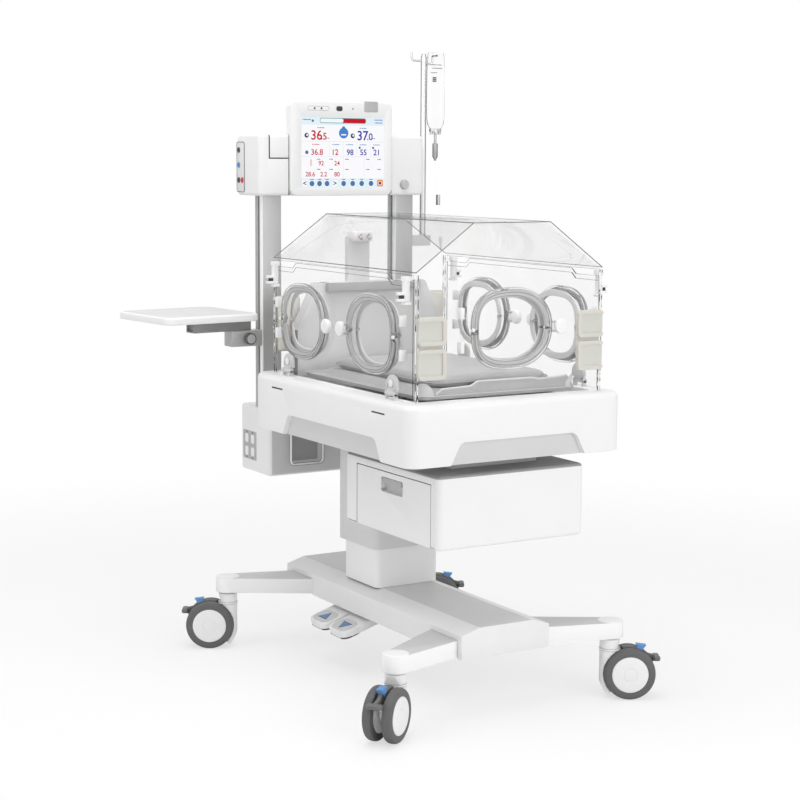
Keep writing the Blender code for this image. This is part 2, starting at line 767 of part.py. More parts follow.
def pedal_bracket():
    """Three ears that hang from the beam's side wall, with the pedals' common pin through them."""
    centres = sorted(PEDAL_CENTRES.values())
    ends = (centres[0] - PEDAL_WIDTH / 2, centres[1] + PEDAL_WIDTH / 2)
    outer = PEDAL_EAR_GAP + PEDAL_EAR_THICK
    middle = sum(centres) / 2
    ear_y = (PEDAL_PIVOT_Y - PEDAL_EAR_HALF, PEDAL_PIVOT_Y + PEDAL_EAR_HALF)
    ear_low = PEDAL_PIVOT_Z - PEDAL_EAR_HALF
    ear_high = BEAM_BOTTOM + PEDAL_PLATE_Z[0] + SINK
    ear_profile = ((ear_y[0], ear_low), (ear_y[1], ear_low), (ear_y[1], ear_high), (ear_y[0], ear_high))
    plate = box((ends[0] - outer, ends[1] + outer), [PEDAL_PIVOT_Y + reach for reach in PEDAL_PLATE_Y],
                [BEAM_BOTTOM + above for above in PEDAL_PLATE_Z])
    half = PEDAL_EAR_THICK / 2
    for centre in (ends[0] - PEDAL_EAR_GAP - half, middle, ends[1] + PEDAL_EAR_GAP + half):
        plate = join(plate, prism(ear_profile, centre - half, centre + half, "x"))
    pin_reach = PEDAL_EAR_GAP + half
    pin = rod((PEDAL_PIVOT_Y, PEDAL_PIVOT_Z), PEDAL_PIN, ends[0] - pin_reach, ends[1] + pin_reach, "x", 10)
    return join(plate, pin)


def pedal_shape(centre_x):
    """A flat pad that slopes down and out from its pin, with a round outer edge."""
    half = PEDAL_WIDTH / 2 - SLIDE
    near = half - PEDAL_CORNER
    far = -PEDAL_REACH + PEDAL_CORNER
    outline = [(half, PEDAL_HEEL), (-half, PEDAL_HEEL)]
    outline += arc((-near, far), PEDAL_CORNER, 180, 270, 4)
    outline += arc((near, far), PEDAL_CORNER, 270, 360, 4)
    pad = prism(outline, -PEDAL_THICK / 2, PEDAL_THICK / 2)
    slope = Matrix.Translation((centre_x, PEDAL_PIVOT_Y, PEDAL_PIVOT_Z)) @ Matrix.Rotation(
        math.radians(PEDAL_SLOPE), 4, "X")
    pad = moved(pad, slope)
    bore_x = (centre_x - PEDAL_WIDTH, centre_x + PEDAL_WIDTH)
    bore = rod((PEDAL_PIVOT_Y, PEDAL_PIVOT_Z), PEDAL_PIN + RUN, bore_x[0], bore_x[1], "x", 10)
    return cut(pad, bore)


def make_chassis():
    finish("chassis_beam", beam_shape(), "white_metal")
    finish("leg_casting_foot", leg_shape(STEM_FOOT_X, -1), "white_metal")
    finish("leg_casting_head", leg_shape(STEM_HEAD_X, 1), "white_metal")
    for way, centre in PEDAL_CENTRES.items():
        pivot = (centre, PEDAL_PIVOT_Y, PEDAL_PIVOT_Z)
        finish(f"foot_pedal_{way}", pedal_shape(centre), "white_plastic", pivot)


# Lift column

def column_tube(margin, wall, bottom, top, corner):
    half_x = COLUMN_LENGTH / 2 + margin
    half_y = COLUMN_WIDTH / 2 + margin
    outer = rounded((COLUMN_X - half_x, COLUMN_X + half_x), (-half_y, half_y), corner, 3)
    inner = rounded((COLUMN_X - half_x + wall, COLUMN_X + half_x - wall), (-half_y + wall, half_y - wall),
                    corner - wall / 2, 3)
    return outer, inner, prism(outer, bottom, top)


def make_column():
    _, inner, lower = column_tube(0.0, COLUMN_WALL, BEAM_TOP + TOUCH, COLUMN_TOP, COLUMN_CORNER)
    guide_margin = SLEEVE_MARGIN - SLEEVE_WALL - SLIDE
    _, _, guide = column_tube(guide_margin, 0.0, COLUMN_TOP - GUIDE_HEIGHT, COLUMN_TOP, COLUMN_CORNER)
    lower = join(lower, guide)
    lower = cut(lower, prism(inner, BEAM_TOP - PAST, COLUMN_TOP + PAST))
    finish("column_lower", lower, "white_metal")

    _, inner, sleeve = column_tube(SLEEVE_MARGIN, SLEEVE_WALL, SLEEVE_BOTTOM, SLEEVE_TOP + CARRIAGE_ROOT,
                                   SLEEVE_CORNER)
    sleeve = cut(sleeve, prism(inner, SLEEVE_BOTTOM - PAST, SLEEVE_TOP - CARRIAGE_ROOT))
    plate = box((CARRIAGE_HEAD_X, CARRIAGE_FOOT_X), (-CARRIAGE_HALF_WIDTH, CARRIAGE_HALF_WIDTH),
                (CARRIAGE_BASE, CARRIAGE_TOP))
    hanger_end = CARRIAGE_FOOT_X - HANGER_INSET
    hanger = box((hanger_end - HANGER_LENGTH, hanger_end), (-HANGER_HALF_WIDTH, HANGER_HALF_WIDTH),
                 (CABINET_TOP + TOUCH, CARRIAGE_TOP - CARRIAGE_ROOT))
    sleeve = join(sleeve, plate, hanger)
    for x in (-STANDOFF_X, STANDOFF_X):
        for y in (-STANDOFF_Y, STANDOFF_Y):
            standoff = rod((x, y), STANDOFF_RADIUS, CARRIAGE_TOP - CARRIAGE_ROOT, TRAY_FLOOR - TOUCH, steps=12)
            sleeve = join(sleeve, standoff)
    finish("column_upper", sleeve, "white_metal", (COLUMN_X, 0, SLEEVE_BOTTOM))


# Base tray

def tray_outline(inset, radius, steps=5):
    return rounded((-TRAY_HALF_LENGTH + inset, TRAY_HALF_LENGTH - inset),
                   (-TRAY_HALF_WIDTH + inset, TRAY_HALF_WIDTH - inset), radius, steps)


def recess_outline(start, end):
    middle = TRAY_BOTTOM + RECESS_HEIGHT - RECESS_CORNER
    inset = RECESS_LEAN + RECESS_CORNER
    left = arc((start + inset, middle), RECESS_CORNER, 170, 90, 3)
    right = arc((end - inset, middle), RECESS_CORNER, 90, 10, 3)
    return [(start, TRAY_BOTTOM - PAST)] + left + right + [(end, TRAY_BOTTOM - PAST)]


def pivot_stand(x, side):
    """Two round ears on the tray's top with the access panel's pin between them."""
    y = side * PIVOT_Y
    ears = rod((y, PIVOT_Z), PIVOT_PIN, x - STAND_PIN_HALF, x + STAND_PIN_HALF, "x", 10)
    foot_y = sorted(side * (PIVOT_Y + reach) for reach in STAND_FOOT)
    for start, end in ((x - STAND_X[1], x - STAND_X[0]), (x + STAND_X[0], x + STAND_X[1])):
        barrel = rod((y, PIVOT_Z), STAND_RADIUS, start, end, "x", 12)
        foot = box((start, end), foot_y, (TRAY_TOP - 2 * SINK, PIVOT_Z))
        ears = join(ears, barrel, foot)
    return ears


def tray_shape():
    levels = ((0.003, TRAY_BOTTOM), (0.0, TRAY_BOTTOM + 0.004), (0.0, TRAY_TOP - TRAY_EDGE_ROUND))
    edge = []
    for angle in (30, 60, 90):
        turn = math.radians(angle)
        edge.append((TRAY_EDGE_ROUND * (1 - math.cos(turn)),
                     TRAY_TOP - TRAY_EDGE_ROUND * (1 - math.sin(turn))))
    rings = []
    for inset, height in levels + tuple(edge):
        rings.append([(x, y, height) for x, y in tray_outline(inset, TRAY_CORNER - inset)])
    shape = loft(rings)
    shape = cut(shape, prism(tray_outline(TRAY_SKIRT, 0.012, 3), TRAY_BOTTOM - PAST, TRAY_FLOOR))
    opening_x = HOOD_HALF_LENGTH - TRAY_LEDGE
    opening_y = HOOD_HALF_WIDTH - TRAY_LEDGE
    opening = rounded((-opening_x, opening_x), (-opening_y, opening_y), DECK_CORNER, 2)
    shape = cut(shape, prism(opening, TRAY_FLOOR + TRAY_FLOOR_THICK, TRAY_TOP + PAST))
    vent_z = [TRAY_TOP - below for below in VENT_BELOW_TOP]
    for side in (-1, 1):
        reach = sorted((side * (TRAY_HALF_WIDTH + PAST), side * (TRAY_HALF_WIDTH - RECESS_DEPTH)))
        shape = cut(shape, prism(recess_outline(*RECESS_SIDE_X), reach[0], reach[1], "y"))
        reach = sorted((side * (TRAY_HALF_LENGTH + PAST), side * (TRAY_HALF_LENGTH - RECESS_DEPTH)))
        shape = cut(shape, prism(recess_outline(-RECESS_END_HALF, RECESS_END_HALF), reach[0], reach[1], "x"))
        for x in (-VENT_X, VENT_X):
            vent_y = sorted((side * (TRAY_HALF_WIDTH + PAST), side * (TRAY_HALF_WIDTH - VENT_DEPTH)))
            shape = cut(shape, box((x - VENT_HALF_LENGTH, x + VENT_HALF_LENGTH), vent_y, vent_z))
    notch_half = CARRIAGE_HALF_WIDTH + TRAY_NOTCH_GAP
    notch = box((-TRAY_HALF_LENGTH - PAST, -TRAY_HALF_LENGTH + TRAY_SKIRT + PAST), (-notch_half, notch_half),
                (TRAY_BOTTOM - PAST, CARRIAGE_TOP + TRAY_NOTCH_GAP))
    shape = cut(shape, notch)
    for x in (-PIVOT_X, PIVOT_X):
        for side in (-1, 1):
            shape = join(shape, pivot_stand(x, side))
    return shape


# Inner deck, mattress tray and mattress

def deck_shape():
    half_x = HOOD_HALF_LENGTH - TRAY_LEDGE - DECK_CENTRE_GAP
    half_y = HOOD_HALF_WIDTH - TRAY_LEDGE - DECK_CENTRE_GAP
    top = DECK_BASE + DECK_HEIGHT
    floor = DECK_BASE + DECK_FLOOR
    shape = prism(rounded((-half_x, half_x), (-half_y, half_y), DECK_CORNER, 2), DECK_BASE, top)
    pan_y = half_y - DECK_RIM
    pan = rounded((-half_x + DECK_RIM_HEAD, half_x - DECK_RIM), (-pan_y, pan_y), DECK_CORNER, 2)
    shape = cut(shape, prism(pan, floor, top + PAST))
    duct_top_half = DUCT_HALF_WIDTH - DUCT_TAPER
    duct = ((-DUCT_HALF_WIDTH, floor - SINK), (DUCT_HALF_WIDTH, floor - SINK), (DUCT_HALF_WIDTH, DUCT_SHOULDER),
            (duct_top_half, DUCT_TOP), (-duct_top_half, DUCT_TOP), (-DUCT_HALF_WIDTH, DUCT_SHOULDER))
    shape = join(shape, prism(duct, -half_x, -half_x + DUCT_THICK, "x"))
    ledge_x = (-half_x + 2 * SINK, -half_x + DUCT_THICK + DUCT_LEDGE_REACH)
    ledge_z = (DUCT_TOP - DUCT_LEDGE_HEIGHT, DUCT_TOP + SINK)
    ledge = box(ledge_x, (-DUCT_LEDGE_HALF, DUCT_LEDGE_HALF), ledge_z)
    tower = box([-half_x + reach for reach in TOWER_X], TOWER_Y, (DUCT_TOP - 2 * SINK, TOWER_TOP))
    head = soft_box([-half_x + reach for reach in SENSOR_X], SENSOR_Y, SENSOR_Z, 0.008)
    shape = join(shape, ledge, tower, head)
    ear_x = (TILT_X - TILT_EAR_HALF, TILT_X + TILT_EAR_HALF)
    for side in (-1, 1):
        ear_y = sorted(side * reach for reach in TILT_EAR_Y)
        shape = join(shape, box(ear_x, ear_y, (floor - SINK, TILT_Z + TILT_EAR_ABOVE)))
    bore_y = TILT_EAR_Y[1] + PAST
    return cut(shape, rod((TILT_X, TILT_Z), TILT_PIN + RUN, -bore_y, bore_y, "y", 12))


def bed_shape():
    """A flange, a platform that tapers up to the mattress, and a raised lip at the foot end."""
    flange_top = BED_Z + BED_FLANGE
    flange = rounded((BED_HEAD_X, BED_FOOT_X), (-BED_HALF_WIDTH, BED_HALF_WIDTH), 0.025, 4)
    shape = prism(flange, BED_Z, flange_top)
    rings = []
    tapered = BED_PLATFORM_INSET + BED_PLATFORM_TAPER
    for inset, height in ((BED_PLATFORM_INSET, flange_top - SINK), (BED_PLATFORM_INSET, flange_top),
                          (tapered, flange_top + BED_PLATFORM)):
        outline = rounded((BED_HEAD_X + inset, BED_FOOT_X - inset + BED_PLATFORM_SHIFT),
                          (-BED_HALF_WIDTH + inset, BED_HALF_WIDTH - inset), BED_CORNER, 4)
        rings.append([(x, y, height) for x, y in outline])
    shape = join(shape, loft(rings))
    lip = [(y, BED_Z + above) for y, above in BED_LIP]
    shape = join(shape, prism(lip, BED_FOOT_X - BED_LIP_X[0], BED_FOOT_X - BED_LIP_X[1], "x"))
    inside = TILT_EAR_Y[0] - 0.0015
    rib_x = (TILT_X - TILT_RIB_HALF, TILT_X + TILT_RIB_HALF)
    rib = box(rib_x, (-inside, inside), (TILT_Z - TILT_RIB_HALF, BED_Z + SINK))
    pin = rod((TILT_X, TILT_Z), TILT_PIN, -TILT_EAR_Y[1] + 0.001, TILT_EAR_Y[1] - 0.001, "y", 12)
    return join(shape, rib, pin)


def mattress_shape():
    x = (BED_HEAD_X + MATTRESS_INSET, BED_FOOT_X - MATTRESS_INSET + MATTRESS_SHIFT)
    y = (-BED_HALF_WIDTH + MATTRESS_INSET, BED_HALF_WIDTH - MATTRESS_INSET)
    rings = []
    for pull, height in ((0.004, 0.0), (0.0, 0.005), (0.0, MATTRESS_THICK - 0.008), (0.007, MATTRESS_THICK)):
        outline = rounded((x[0] + pull, x[1] - pull), (y[0] + pull, y[1] - pull), MATTRESS_CORNER - pull, 4)
        rings.append([(u, v, MATTRESS_BASE + height) for u, v in outline])
    return loft(rings)


def make_body():
    finish("base_tray", tray_shape(), "white_plastic")
    finish("inner_deck", deck_shape(), "grey_plastic")
    finish("mattress_tray", bed_shape(), "grey_plastic", (TILT_X, 0, TILT_Z))
    finish("mattress", mattress_shape(), "grey_fabric", (TILT_X, 0, MATTRESS_BASE))


# Ports. A port's frame has its origin on the wall's outer face at the port's centre: first axis along the wall
# towards the latch, second axis outwards, third axis vertical. A port is the same upside down.

def egg(inset):
    """The port's outline: flatter on the hinge side, rounder on the latch side."""
    points = []
    for index in range(PORT_STEPS):
        turn = 2 * math.pi * index / PORT_STEPS
        cosine, sine = math.cos(turn), math.sin(turn)
        power = 2 / 2.9 if cosine < 0 else 2 / 2.15
        u = math.copysign(abs(cosine) ** power, cosine) * (PORT_HALF_WIDTH - inset)
        w = math.copysign(abs(sine) ** power, sine) * (PORT_HALF_HEIGHT - inset)
        points.append((u, w))
    return points


def port_ring(inset, out):
    return [(u, out, w) for u, w in egg(inset)]


def door_shape():
    section = (
        (PORT_RIM, DOOR_PANE),
        (PORT_RIM - 0.0030, DOOR_OUT),
        (DOOR_EDGE, DOOR_OUT),
        (0.0, DOOR_OUT - 0.0050),
        (0.0, DOOR_SEAT + 0.0022),
        (DOOR_EDGE, DOOR_SEAT),
        (PORT_RIM, DOOR_SEAT),
    )
    shape = loft([port_ring(inset, out) for inset, out in section])
    knuckle = rod((-PORT_HINGE, HINGE_OUT), KNUCKLE_RADIUS, -KNUCKLE_HALF, KNUCKLE_HALF, steps=12)
    leaf = box((-PORT_HINGE, -PORT_HALF_WIDTH + 0.005), LEAF_OUT, (-LEAF_HALF, LEAF_HALF))
    shape = join(shape, join(knuckle, leaf))
    for side in (-1, 1):
        ear_z = sorted(side * height for height in LATCH_EAR)
        ear = box((PORT_HALF_WIDTH - 0.006, PORT_LATCH + 0.005), (LATCH_OUT - 0.005, LATCH_OUT + 0.005), ear_z)
        shape = join(shape, ear)
    pin_half = LATCH_EAR[1] - SINK
    shape = join(shape, rod((PORT_LATCH, LATCH_OUT), LATCH_PIN, -pin_half, pin_half, steps=8))
    bore_half = KNUCKLE_HALF + PAST
    return cut(shape, rod((-PORT_HINGE, HINGE_OUT), HINGE_PIN + RUN, -bore_half, bore_half, steps=10))


def latch_shape():
    barrel = rod((PORT_LATCH, LATCH_OUT), LATCH_BARREL, -LATCH_BARREL_HALF, LATCH_BARREL_HALF, steps=10)
    arm = box((PORT_LATCH, PORT_LATCH + LATCH_ARM), (LATCH_OUT - SINK, LATCH_OUT + 0.008), (-0.0075, 0.0075))
    paddle = rod((PORT_LATCH + PADDLE_REACH, 0.0), PADDLE_RADIUS, PADDLE_OUT[0], PADDLE_OUT[1], "y", 16)
    shape = join(barrel, arm, paddle)
    return cut(shape, rod((PORT_LATCH, LATCH_OUT), LATCH_PIN + RUN, -PADDLE_RADIUS, PADDLE_RADIUS, steps=8))


def hinge_stand():
    """The wall's side of the hinge: two barrels with feet on the wall, and the pin between them."""
    pin_half = BARREL_SPAN[1] - 0.006
    stand = rod((-PORT_HINGE, HINGE_OUT), HINGE_PIN, -pin_half, pin_half, steps=8)
    for side in (-1, 1):
        height = sorted(side * end for end in BARREL_SPAN)
        foot = box((-PORT_HINGE - BARREL_FOOT, -PORT_HINGE + BARREL_FOOT), (-0.001, HINGE_OUT), height)
        stand = join(stand, rod((-PORT_HINGE, HINGE_OUT), BARREL_RADIUS, height[0], height[1], steps=12))
        stand = join(stand, foot)
    return stand


def port_collar():
    outer = PORT_OPENING_INSET - PORT_COLLAR_WALL
    return loft([port_ring(outer, 0.0), port_ring(outer, -ACRYLIC - PORT_COLLAR)])


def port_hole():
    inner_end = -ACRYLIC - PORT_COLLAR - PAST
    return loft([port_ring(PORT_OPENING_INSET, PAST), port_ring(PORT_OPENING_INSET, inner_end)])


def port_frame(origin, towards_latch, outward):
    along = Vector(towards_latch)
    out = Vector(outward)
    up = along.cross(out)
    matrix = Matrix((along, out, up)).transposed().to_4x4()
    matrix.translation = origin
    return matrix


PORTS = {
    "front_left": port_frame((-SIDE_PORT_X, -HOOD_HALF_WIDTH, SIDE_PORT_Z), (1, 0, 0), (0, -1, 0)),
    "front_right": port_frame((SIDE_PORT_X, -HOOD_HALF_WIDTH, SIDE_PORT_Z), (-1, 0, 0), (0, -1, 0)),
    "rear_left": port_frame((-SIDE_PORT_X, HOOD_HALF_WIDTH, SIDE_PORT_Z), (1, 0, 0), (0, 1, 0)),
    "rear_right": port_frame((SIDE_PORT_X, HOOD_HALF_WIDTH, SIDE_PORT_Z), (-1, 0, 0), (0, 1, 0)),
    "foot_end": port_frame((HOOD_HALF_LENGTH, END_PORT_Y, END_PORT_Z), (0, 1, 0), (1, 0, 0)),
}


def with_port(wall, frame):
    """Add a port's collar and hinge stand to a wall, and cut its hole."""
    wall = join(wall, moved(port_collar(), frame))
    wall = cut(wall, moved(port_hole(), frame))
    return join(wall, moved(hinge_stand(), frame))


def make_ports():
    for place, frame in PORTS.items():
        hinge = frame @ Vector((-PORT_HINGE, HINGE_OUT, 0))
        pivot = frame @ Vector((PORT_LATCH, LATCH_OUT, 0))
        finish(f"port_door_{place}", moved(door_shape(), frame), "clear_acrylic", hinge)
        finish(f"port_latch_{place}", moved(latch_shape(), frame), "white_plastic", pivot)


# Hood

def hood_section(wall):
    low = HOOD_BASE - (PAST if wall else 0.0)
    side = HOOD_HALF_WIDTH - wall
    eave = EAVE_Z - wall * 0.55
    top_half = ROOF_HALF - wall * 0.4
    return ((-side, low), (side, low), (side, eave), (top_half, ROOF_Z - wall), (-top_half, ROOF_Z - wall),
            (-side, eave))


def canopy_shape():
    shape = prism(hood_section(0.0), -HOOD_HALF_LENGTH, HOOD_HALF_LENGTH, "x")
    inner = HOOD_HALF_LENGTH - ACRYLIC
    shape = cut(shape, prism(hood_section(ACRYLIC), -inner, inner, "x"))
    gap_x = HOOD_HALF_LENGTH - PANEL_SIDE
    gap_top = EAVE_Z - PANEL_HEAD
    gap_y = HOOD_HALF_WIDTH + PAST
    shape = cut(shape, box((-gap_x, gap_x), (-gap_y, gap_y), (HOOD_BASE - PAST, gap_top)))
    across = HOOD_HALF_LENGTH + PAST
    slot_inset = GROMMET_SEAT - RUN
    for side in (-1, 1):
        slot_y = sorted((side * (GROMMET_Y[0] + slot_inset), side * (GROMMET_Y[1] - slot_inset)))
        slot = box((-across, across), slot_y, (GROMMET_Z[0][0] + 0.004, GROMMET_Z[1][1] - 0.004))
        shape = cut(shape, slot)
    return with_port(shape, PORTS["foot_end"])


def grommet_shape(end, side):
    """Two slotted pads outside the end wall, on one strip that fills the wall's slot."""
    wall = HOOD_HALF_LENGTH
    strip_y = sorted((side * (GROMMET_Y[0] + GROMMET_SEAT), side * (GROMMET_Y[1] - GROMMET_SEAT)))
    strip_x = sorted((end * (wall - ACRYLIC - 0.002), end * (wall + 0.004)))
    shape = box(strip_x, strip_y, (GROMMET_Z[0][0] + 0.0045, GROMMET_Z[1][1] - 0.0045))
    for low, high in GROMMET_Z:
        pad_x = sorted((end * (wall + TOUCH), end * (wall + GROMMET_PROUD)))
        pad_y = sorted((side * GROMMET_Y[0], side * GROMMET_Y[1]))
        pad = soft_box(pad_x, pad_y, (low, high), 0.0035, 1)
        middle = (low + high) / 2
        lip_x = sorted((end * (wall + GROMMET_PROUD - 0.0025), end * (wall + GROMMET_PROUD + PAST)))
        pad = cut(pad, box(lip_x, (pad_y[0] + 0.004, pad_y[1] - 0.004), (middle - 0.0012, middle + 0.0012)))
        shape = join(shape, pad)
    return shape


def panel_shape():
    """The front access panel. The rear one is the same, turned about Z."""
    wall = -HOOD_HALF_WIDTH
    half = HOOD_HALF_LENGTH - PANEL_SIDE - SLIDE
    low = HOOD_BASE + PANEL_FOOT
    high = EAVE_Z - PANEL_HEAD - SLIDE
    notch = high - PANEL_NOTCH
    near, far = PANEL_NOTCH_X
    outline = ((-half, low), (half, low), (half, notch), (far, notch),
               (near, high), (-near, high), (-far, notch), (-half, notch))
    shape = prism(outline, wall, wall + ACRYLIC, "y")
    for place in ("front_left", "front_right"):
        shape = with_port(shape, PORTS[place])
    for x in (-PIVOT_X, PIVOT_X):
        plan_z = [PIVOT_Z + above for above in BRACKET_Z]
        bracket = rounded((x - BRACKET_HALF, x + BRACKET_HALF), plan_z, BRACKET_CORNER, 3)
        bracket = prism(bracket, wall - BRACKET_THICK, wall + 0.001, "y")
        neck_x = (x - BRACKET_NECK_HALF, x + BRACKET_NECK_HALF)
        neck = box(neck_x, (-PIVOT_Y - PIVOT_PIN, wall + 0.001), (PIVOT_Z, PIVOT_Z + 0.012))
        barrel = rod((-PIVOT_Y, PIVOT_Z), STAND_RADIUS, neck_x[0], neck_x[1], "x", 12)
        boss = rod((x, PIVOT_Z + BOSS_RISE), BOSS_RADIUS, wall - BOSS_OUT, wall - BRACKET_THICK + SINK, "y", 12)
        shape = join(shape, bracket, neck, barrel, boss)
        shape = cut(shape, rod((-PIVOT_Y, PIVOT_Z), PIVOT_PIN + RUN, neck_x[0] - RUN, neck_x[1] + RUN, "x", 10))
    for x in (-LATCH_X, LATCH_X):
        lug = box((x - LUG_HALF, x + LUG_HALF), (wall - LUG_OUT, wall + 0.001),
                  (LATCH_Z - LUG_THICK, LATCH_Z - TOUCH))
        peg = rod((x, wall - LATCH_Y_OUT), LATCH_PEG, LATCH_Z - SINK, LATCH_Z + 0.016, steps=10)
        shape = join(shape, lug, peg)
    return shape


def panel_latch_shape(x):
    y = -HOOD_HALF_WIDTH - LATCH_Y_OUT
    top = LATCH_Z + LATCH_HEIGHT
    body = soft_box((x - LATCH_HALF, x + LATCH_HALF), (y - LATCH_HALF, y + LATCH_HALF), (LATCH_Z, top),
                    0.002, 1)
    cap = box((x - 0.0085, x + 0.0105), (y - 0.0080, y + 0.0080), (top - 0.0015, top + 0.009))
    body = join(body, cap)
    for low in (LATCH_Z + 0.0010, LATCH_Z + 0.0150):
        prong = box((x - 0.0055, x + 0.0055), (y - 0.0230, y - 0.0050), (low, low + PRONG_THICK))
        body = join(body, prong)
    return cut(body, rod((x, y), LATCH_PEG + RUN, LATCH_Z - PAST, LATCH_Z + 0.018, steps=10))


def make_hood():
    finish("hood_canopy", canopy_shape(), "clear_acrylic")
    half_turn = Matrix.Rotation(math.pi, 4, "Z")
    as_drawn = Matrix.Identity(4)
    for name, turn in (("front", as_drawn), ("rear", half_turn)):
        pivot = turn @ Vector((0, -PIVOT_Y, PIVOT_Z))
        finish(f"access_panel_{name}", moved(panel_shape(), turn), "clear_acrylic", pivot)
    for place, x, turn in (("front_left", -LATCH_X, as_drawn), ("front_right", LATCH_X, as_drawn),
                           ("rear_left", LATCH_X, half_turn), ("rear_right", -LATCH_X, half_turn)):
        origin = turn @ Vector((x, -HOOD_HALF_WIDTH - LATCH_Y_OUT, LATCH_Z))
        finish(f"panel_latch_{place}", moved(panel_latch_shape(x), turn), "white_plastic", origin)
    for end, end_name in ((1, "foot"), (-1, "head")):
        for side, side_name in ((-1, "left"), (1, "right")):
            finish(f"grommet_{end_name}_{side_name}", grommet_shape(end, side), "cream_rubber")


# Cabinet and drawer

def make_cabinet():
    front = -CABINET_HALF_WIDTH
    outline = rounded((CABINET_HEAD_X, CABINET_FOOT_X), (front, CABINET_HALF_WIDTH), CABINET_CORNER, 4)
    case = prism(outline, CABINET_BOTTOM, CABINET_TOP)
    bmesh.ops.bevel(case, geom=level_edges(case), offset=CABINET_EDGE, segments=2, profile=0.5, affect="EDGES")
    cavity_y = (front - PAST, CABINET_HALF_WIDTH - CABINET_BACK)
    cavity = box((DRAWER_HEAD_X - SLIDE, DRAWER_FOOT_X + SLIDE), cavity_y,
                 (DRAWER_BOTTOM - TOUCH, DRAWER_TOP + SLIDE))
    finish("storage_cabinet", cut(case, cavity), "white_plastic")

    face_back = front + DRAWER_FRONT
    face = box((DRAWER_HEAD_X, DRAWER_FOOT_X), (front, face_back), (DRAWER_BOTTOM, DRAWER_TOP))
    pocket = prism(rounded(PULL_X, PULL_Z, 0.008, 2), front - PAST, front + PULL_DEPTH, "y")
    grip = box((PULL_X[0] - SINK, PULL_X[1] + SINK), (front, front + GRIP_THICK),
               (PULL_Z[1] - GRIP_HEIGHT, PULL_Z[1] + SINK))
    face = join(cut(face, pocket), grip)
    tub_x = (DRAWER_HEAD_X + TUB_SIDE_GAP, DRAWER_FOOT_X - TUB_SIDE_GAP)
    tub_back = front + DRAWER_DEPTH
    tub_floor = DRAWER_BOTTOM + SINK
    tub = box(tub_x, (face_back - SINK, tub_back), (tub_floor, DRAWER_TOP - TUB_BELOW_TOP))
    hollow = box((tub_x[0] + DRAWER_WALL, tub_x[1] - DRAWER_WALL), (face_back, tub_back - DRAWER_WALL),
                 (tub_floor + DRAWER_WALL, DRAWER_TOP + PAST))
    finish("drawer", join(face, cut(tub, hollow)), "white_plastic", (0, front, DRAWER_BOTTOM))


# Power box and its rail

def bent_tube(points, radius, corner, steps=8, bend_steps=3):
    """A round bar through corner points, each corner rounded. Bars lie in planes with square bends."""
    path = [Vector(points[0])]
    for before, at, after in zip(points, points[1:], points[2:]):
        here = Vector(at)
        start = here + (Vector(before) - here).normalized() * corner
        end = here + (Vector(after) - here).normalized() * corner
        for index in range(bend_steps + 1):
            part = index / bend_steps
            path.append(start * (1 - part) ** 2 + here * 2 * part * (1 - part) + end * part ** 2)
    path.append(Vector(points[-1]))
    rings = []
    side = None
    for index, point in enumerate(path):
        ahead = path[min(index + 1, len(path) - 1)] - path[max(index - 1, 0)]
        ahead.normalize()
        if side is None:
            side = ahead.orthogonal().normalized()
        side = (side - ahead * side.dot(ahead)).normalized()
        other = ahead.cross(side)
        ring = []
        for turn in range(steps):
            angle = 2 * math.pi * turn / steps
            ring.append(point + side * (radius * math.cos(angle)) + other * (radius * math.sin(angle)))
        rings.append(ring)
    return loft(rings)


def make_power_box():
    case = soft_box((BOX_HEAD_X, BOX_FOOT_X), (-BOX_HALF_WIDTH, BOX_HALF_WIDTH), (BOX_BOTTOM, BOX_TOP),
                    BOX_EDGE, 1)
    well = box(SOCKET_X, (-BOX_HALF_WIDTH - PAST, -BOX_HALF_WIDTH + SOCKET_DEPTH), SOCKET_Z)
    case = cut(case, well)
    low, high = RAIL_Z
    near, far = RAIL_Y
    front = BOX_FOOT_X + RAIL_OUT
    back = BOX_FOOT_X - RAIL_ROOT
    rail = bent_tube(((back, near, high), (front, near, high), (front, near, low),
                      (front, far, low), (front, far, high), (back, far, high)), RAIL_RADIUS, RAIL_BEND)
    finish("power_box", join(case, rail), "white_plastic")


# Posts, control beam, monitor and knob

def post_shape(side):
    y = sorted((side * POST_Y[0], side * POST_Y[1]))
    shape = prism(rounded(POST_X, y, POST_CORNER, 2), BOX_TOP + TOUCH, CONTROL_Z[0] - TOUCH)
    middle = sum(POST_X) / 2
    for face, way in ((y[0], 1), (y[1], -1)):
        mouth = sorted((face - way * PAST, face + way * POST_SLOT_DEPTH))
        slot = box((middle - POST_SLOT / 2, middle + POST_SLOT / 2), mouth, (BOX_TOP - PAST, CONTROL_Z[1]))
        shape = cut(shape, slot)
    return shape


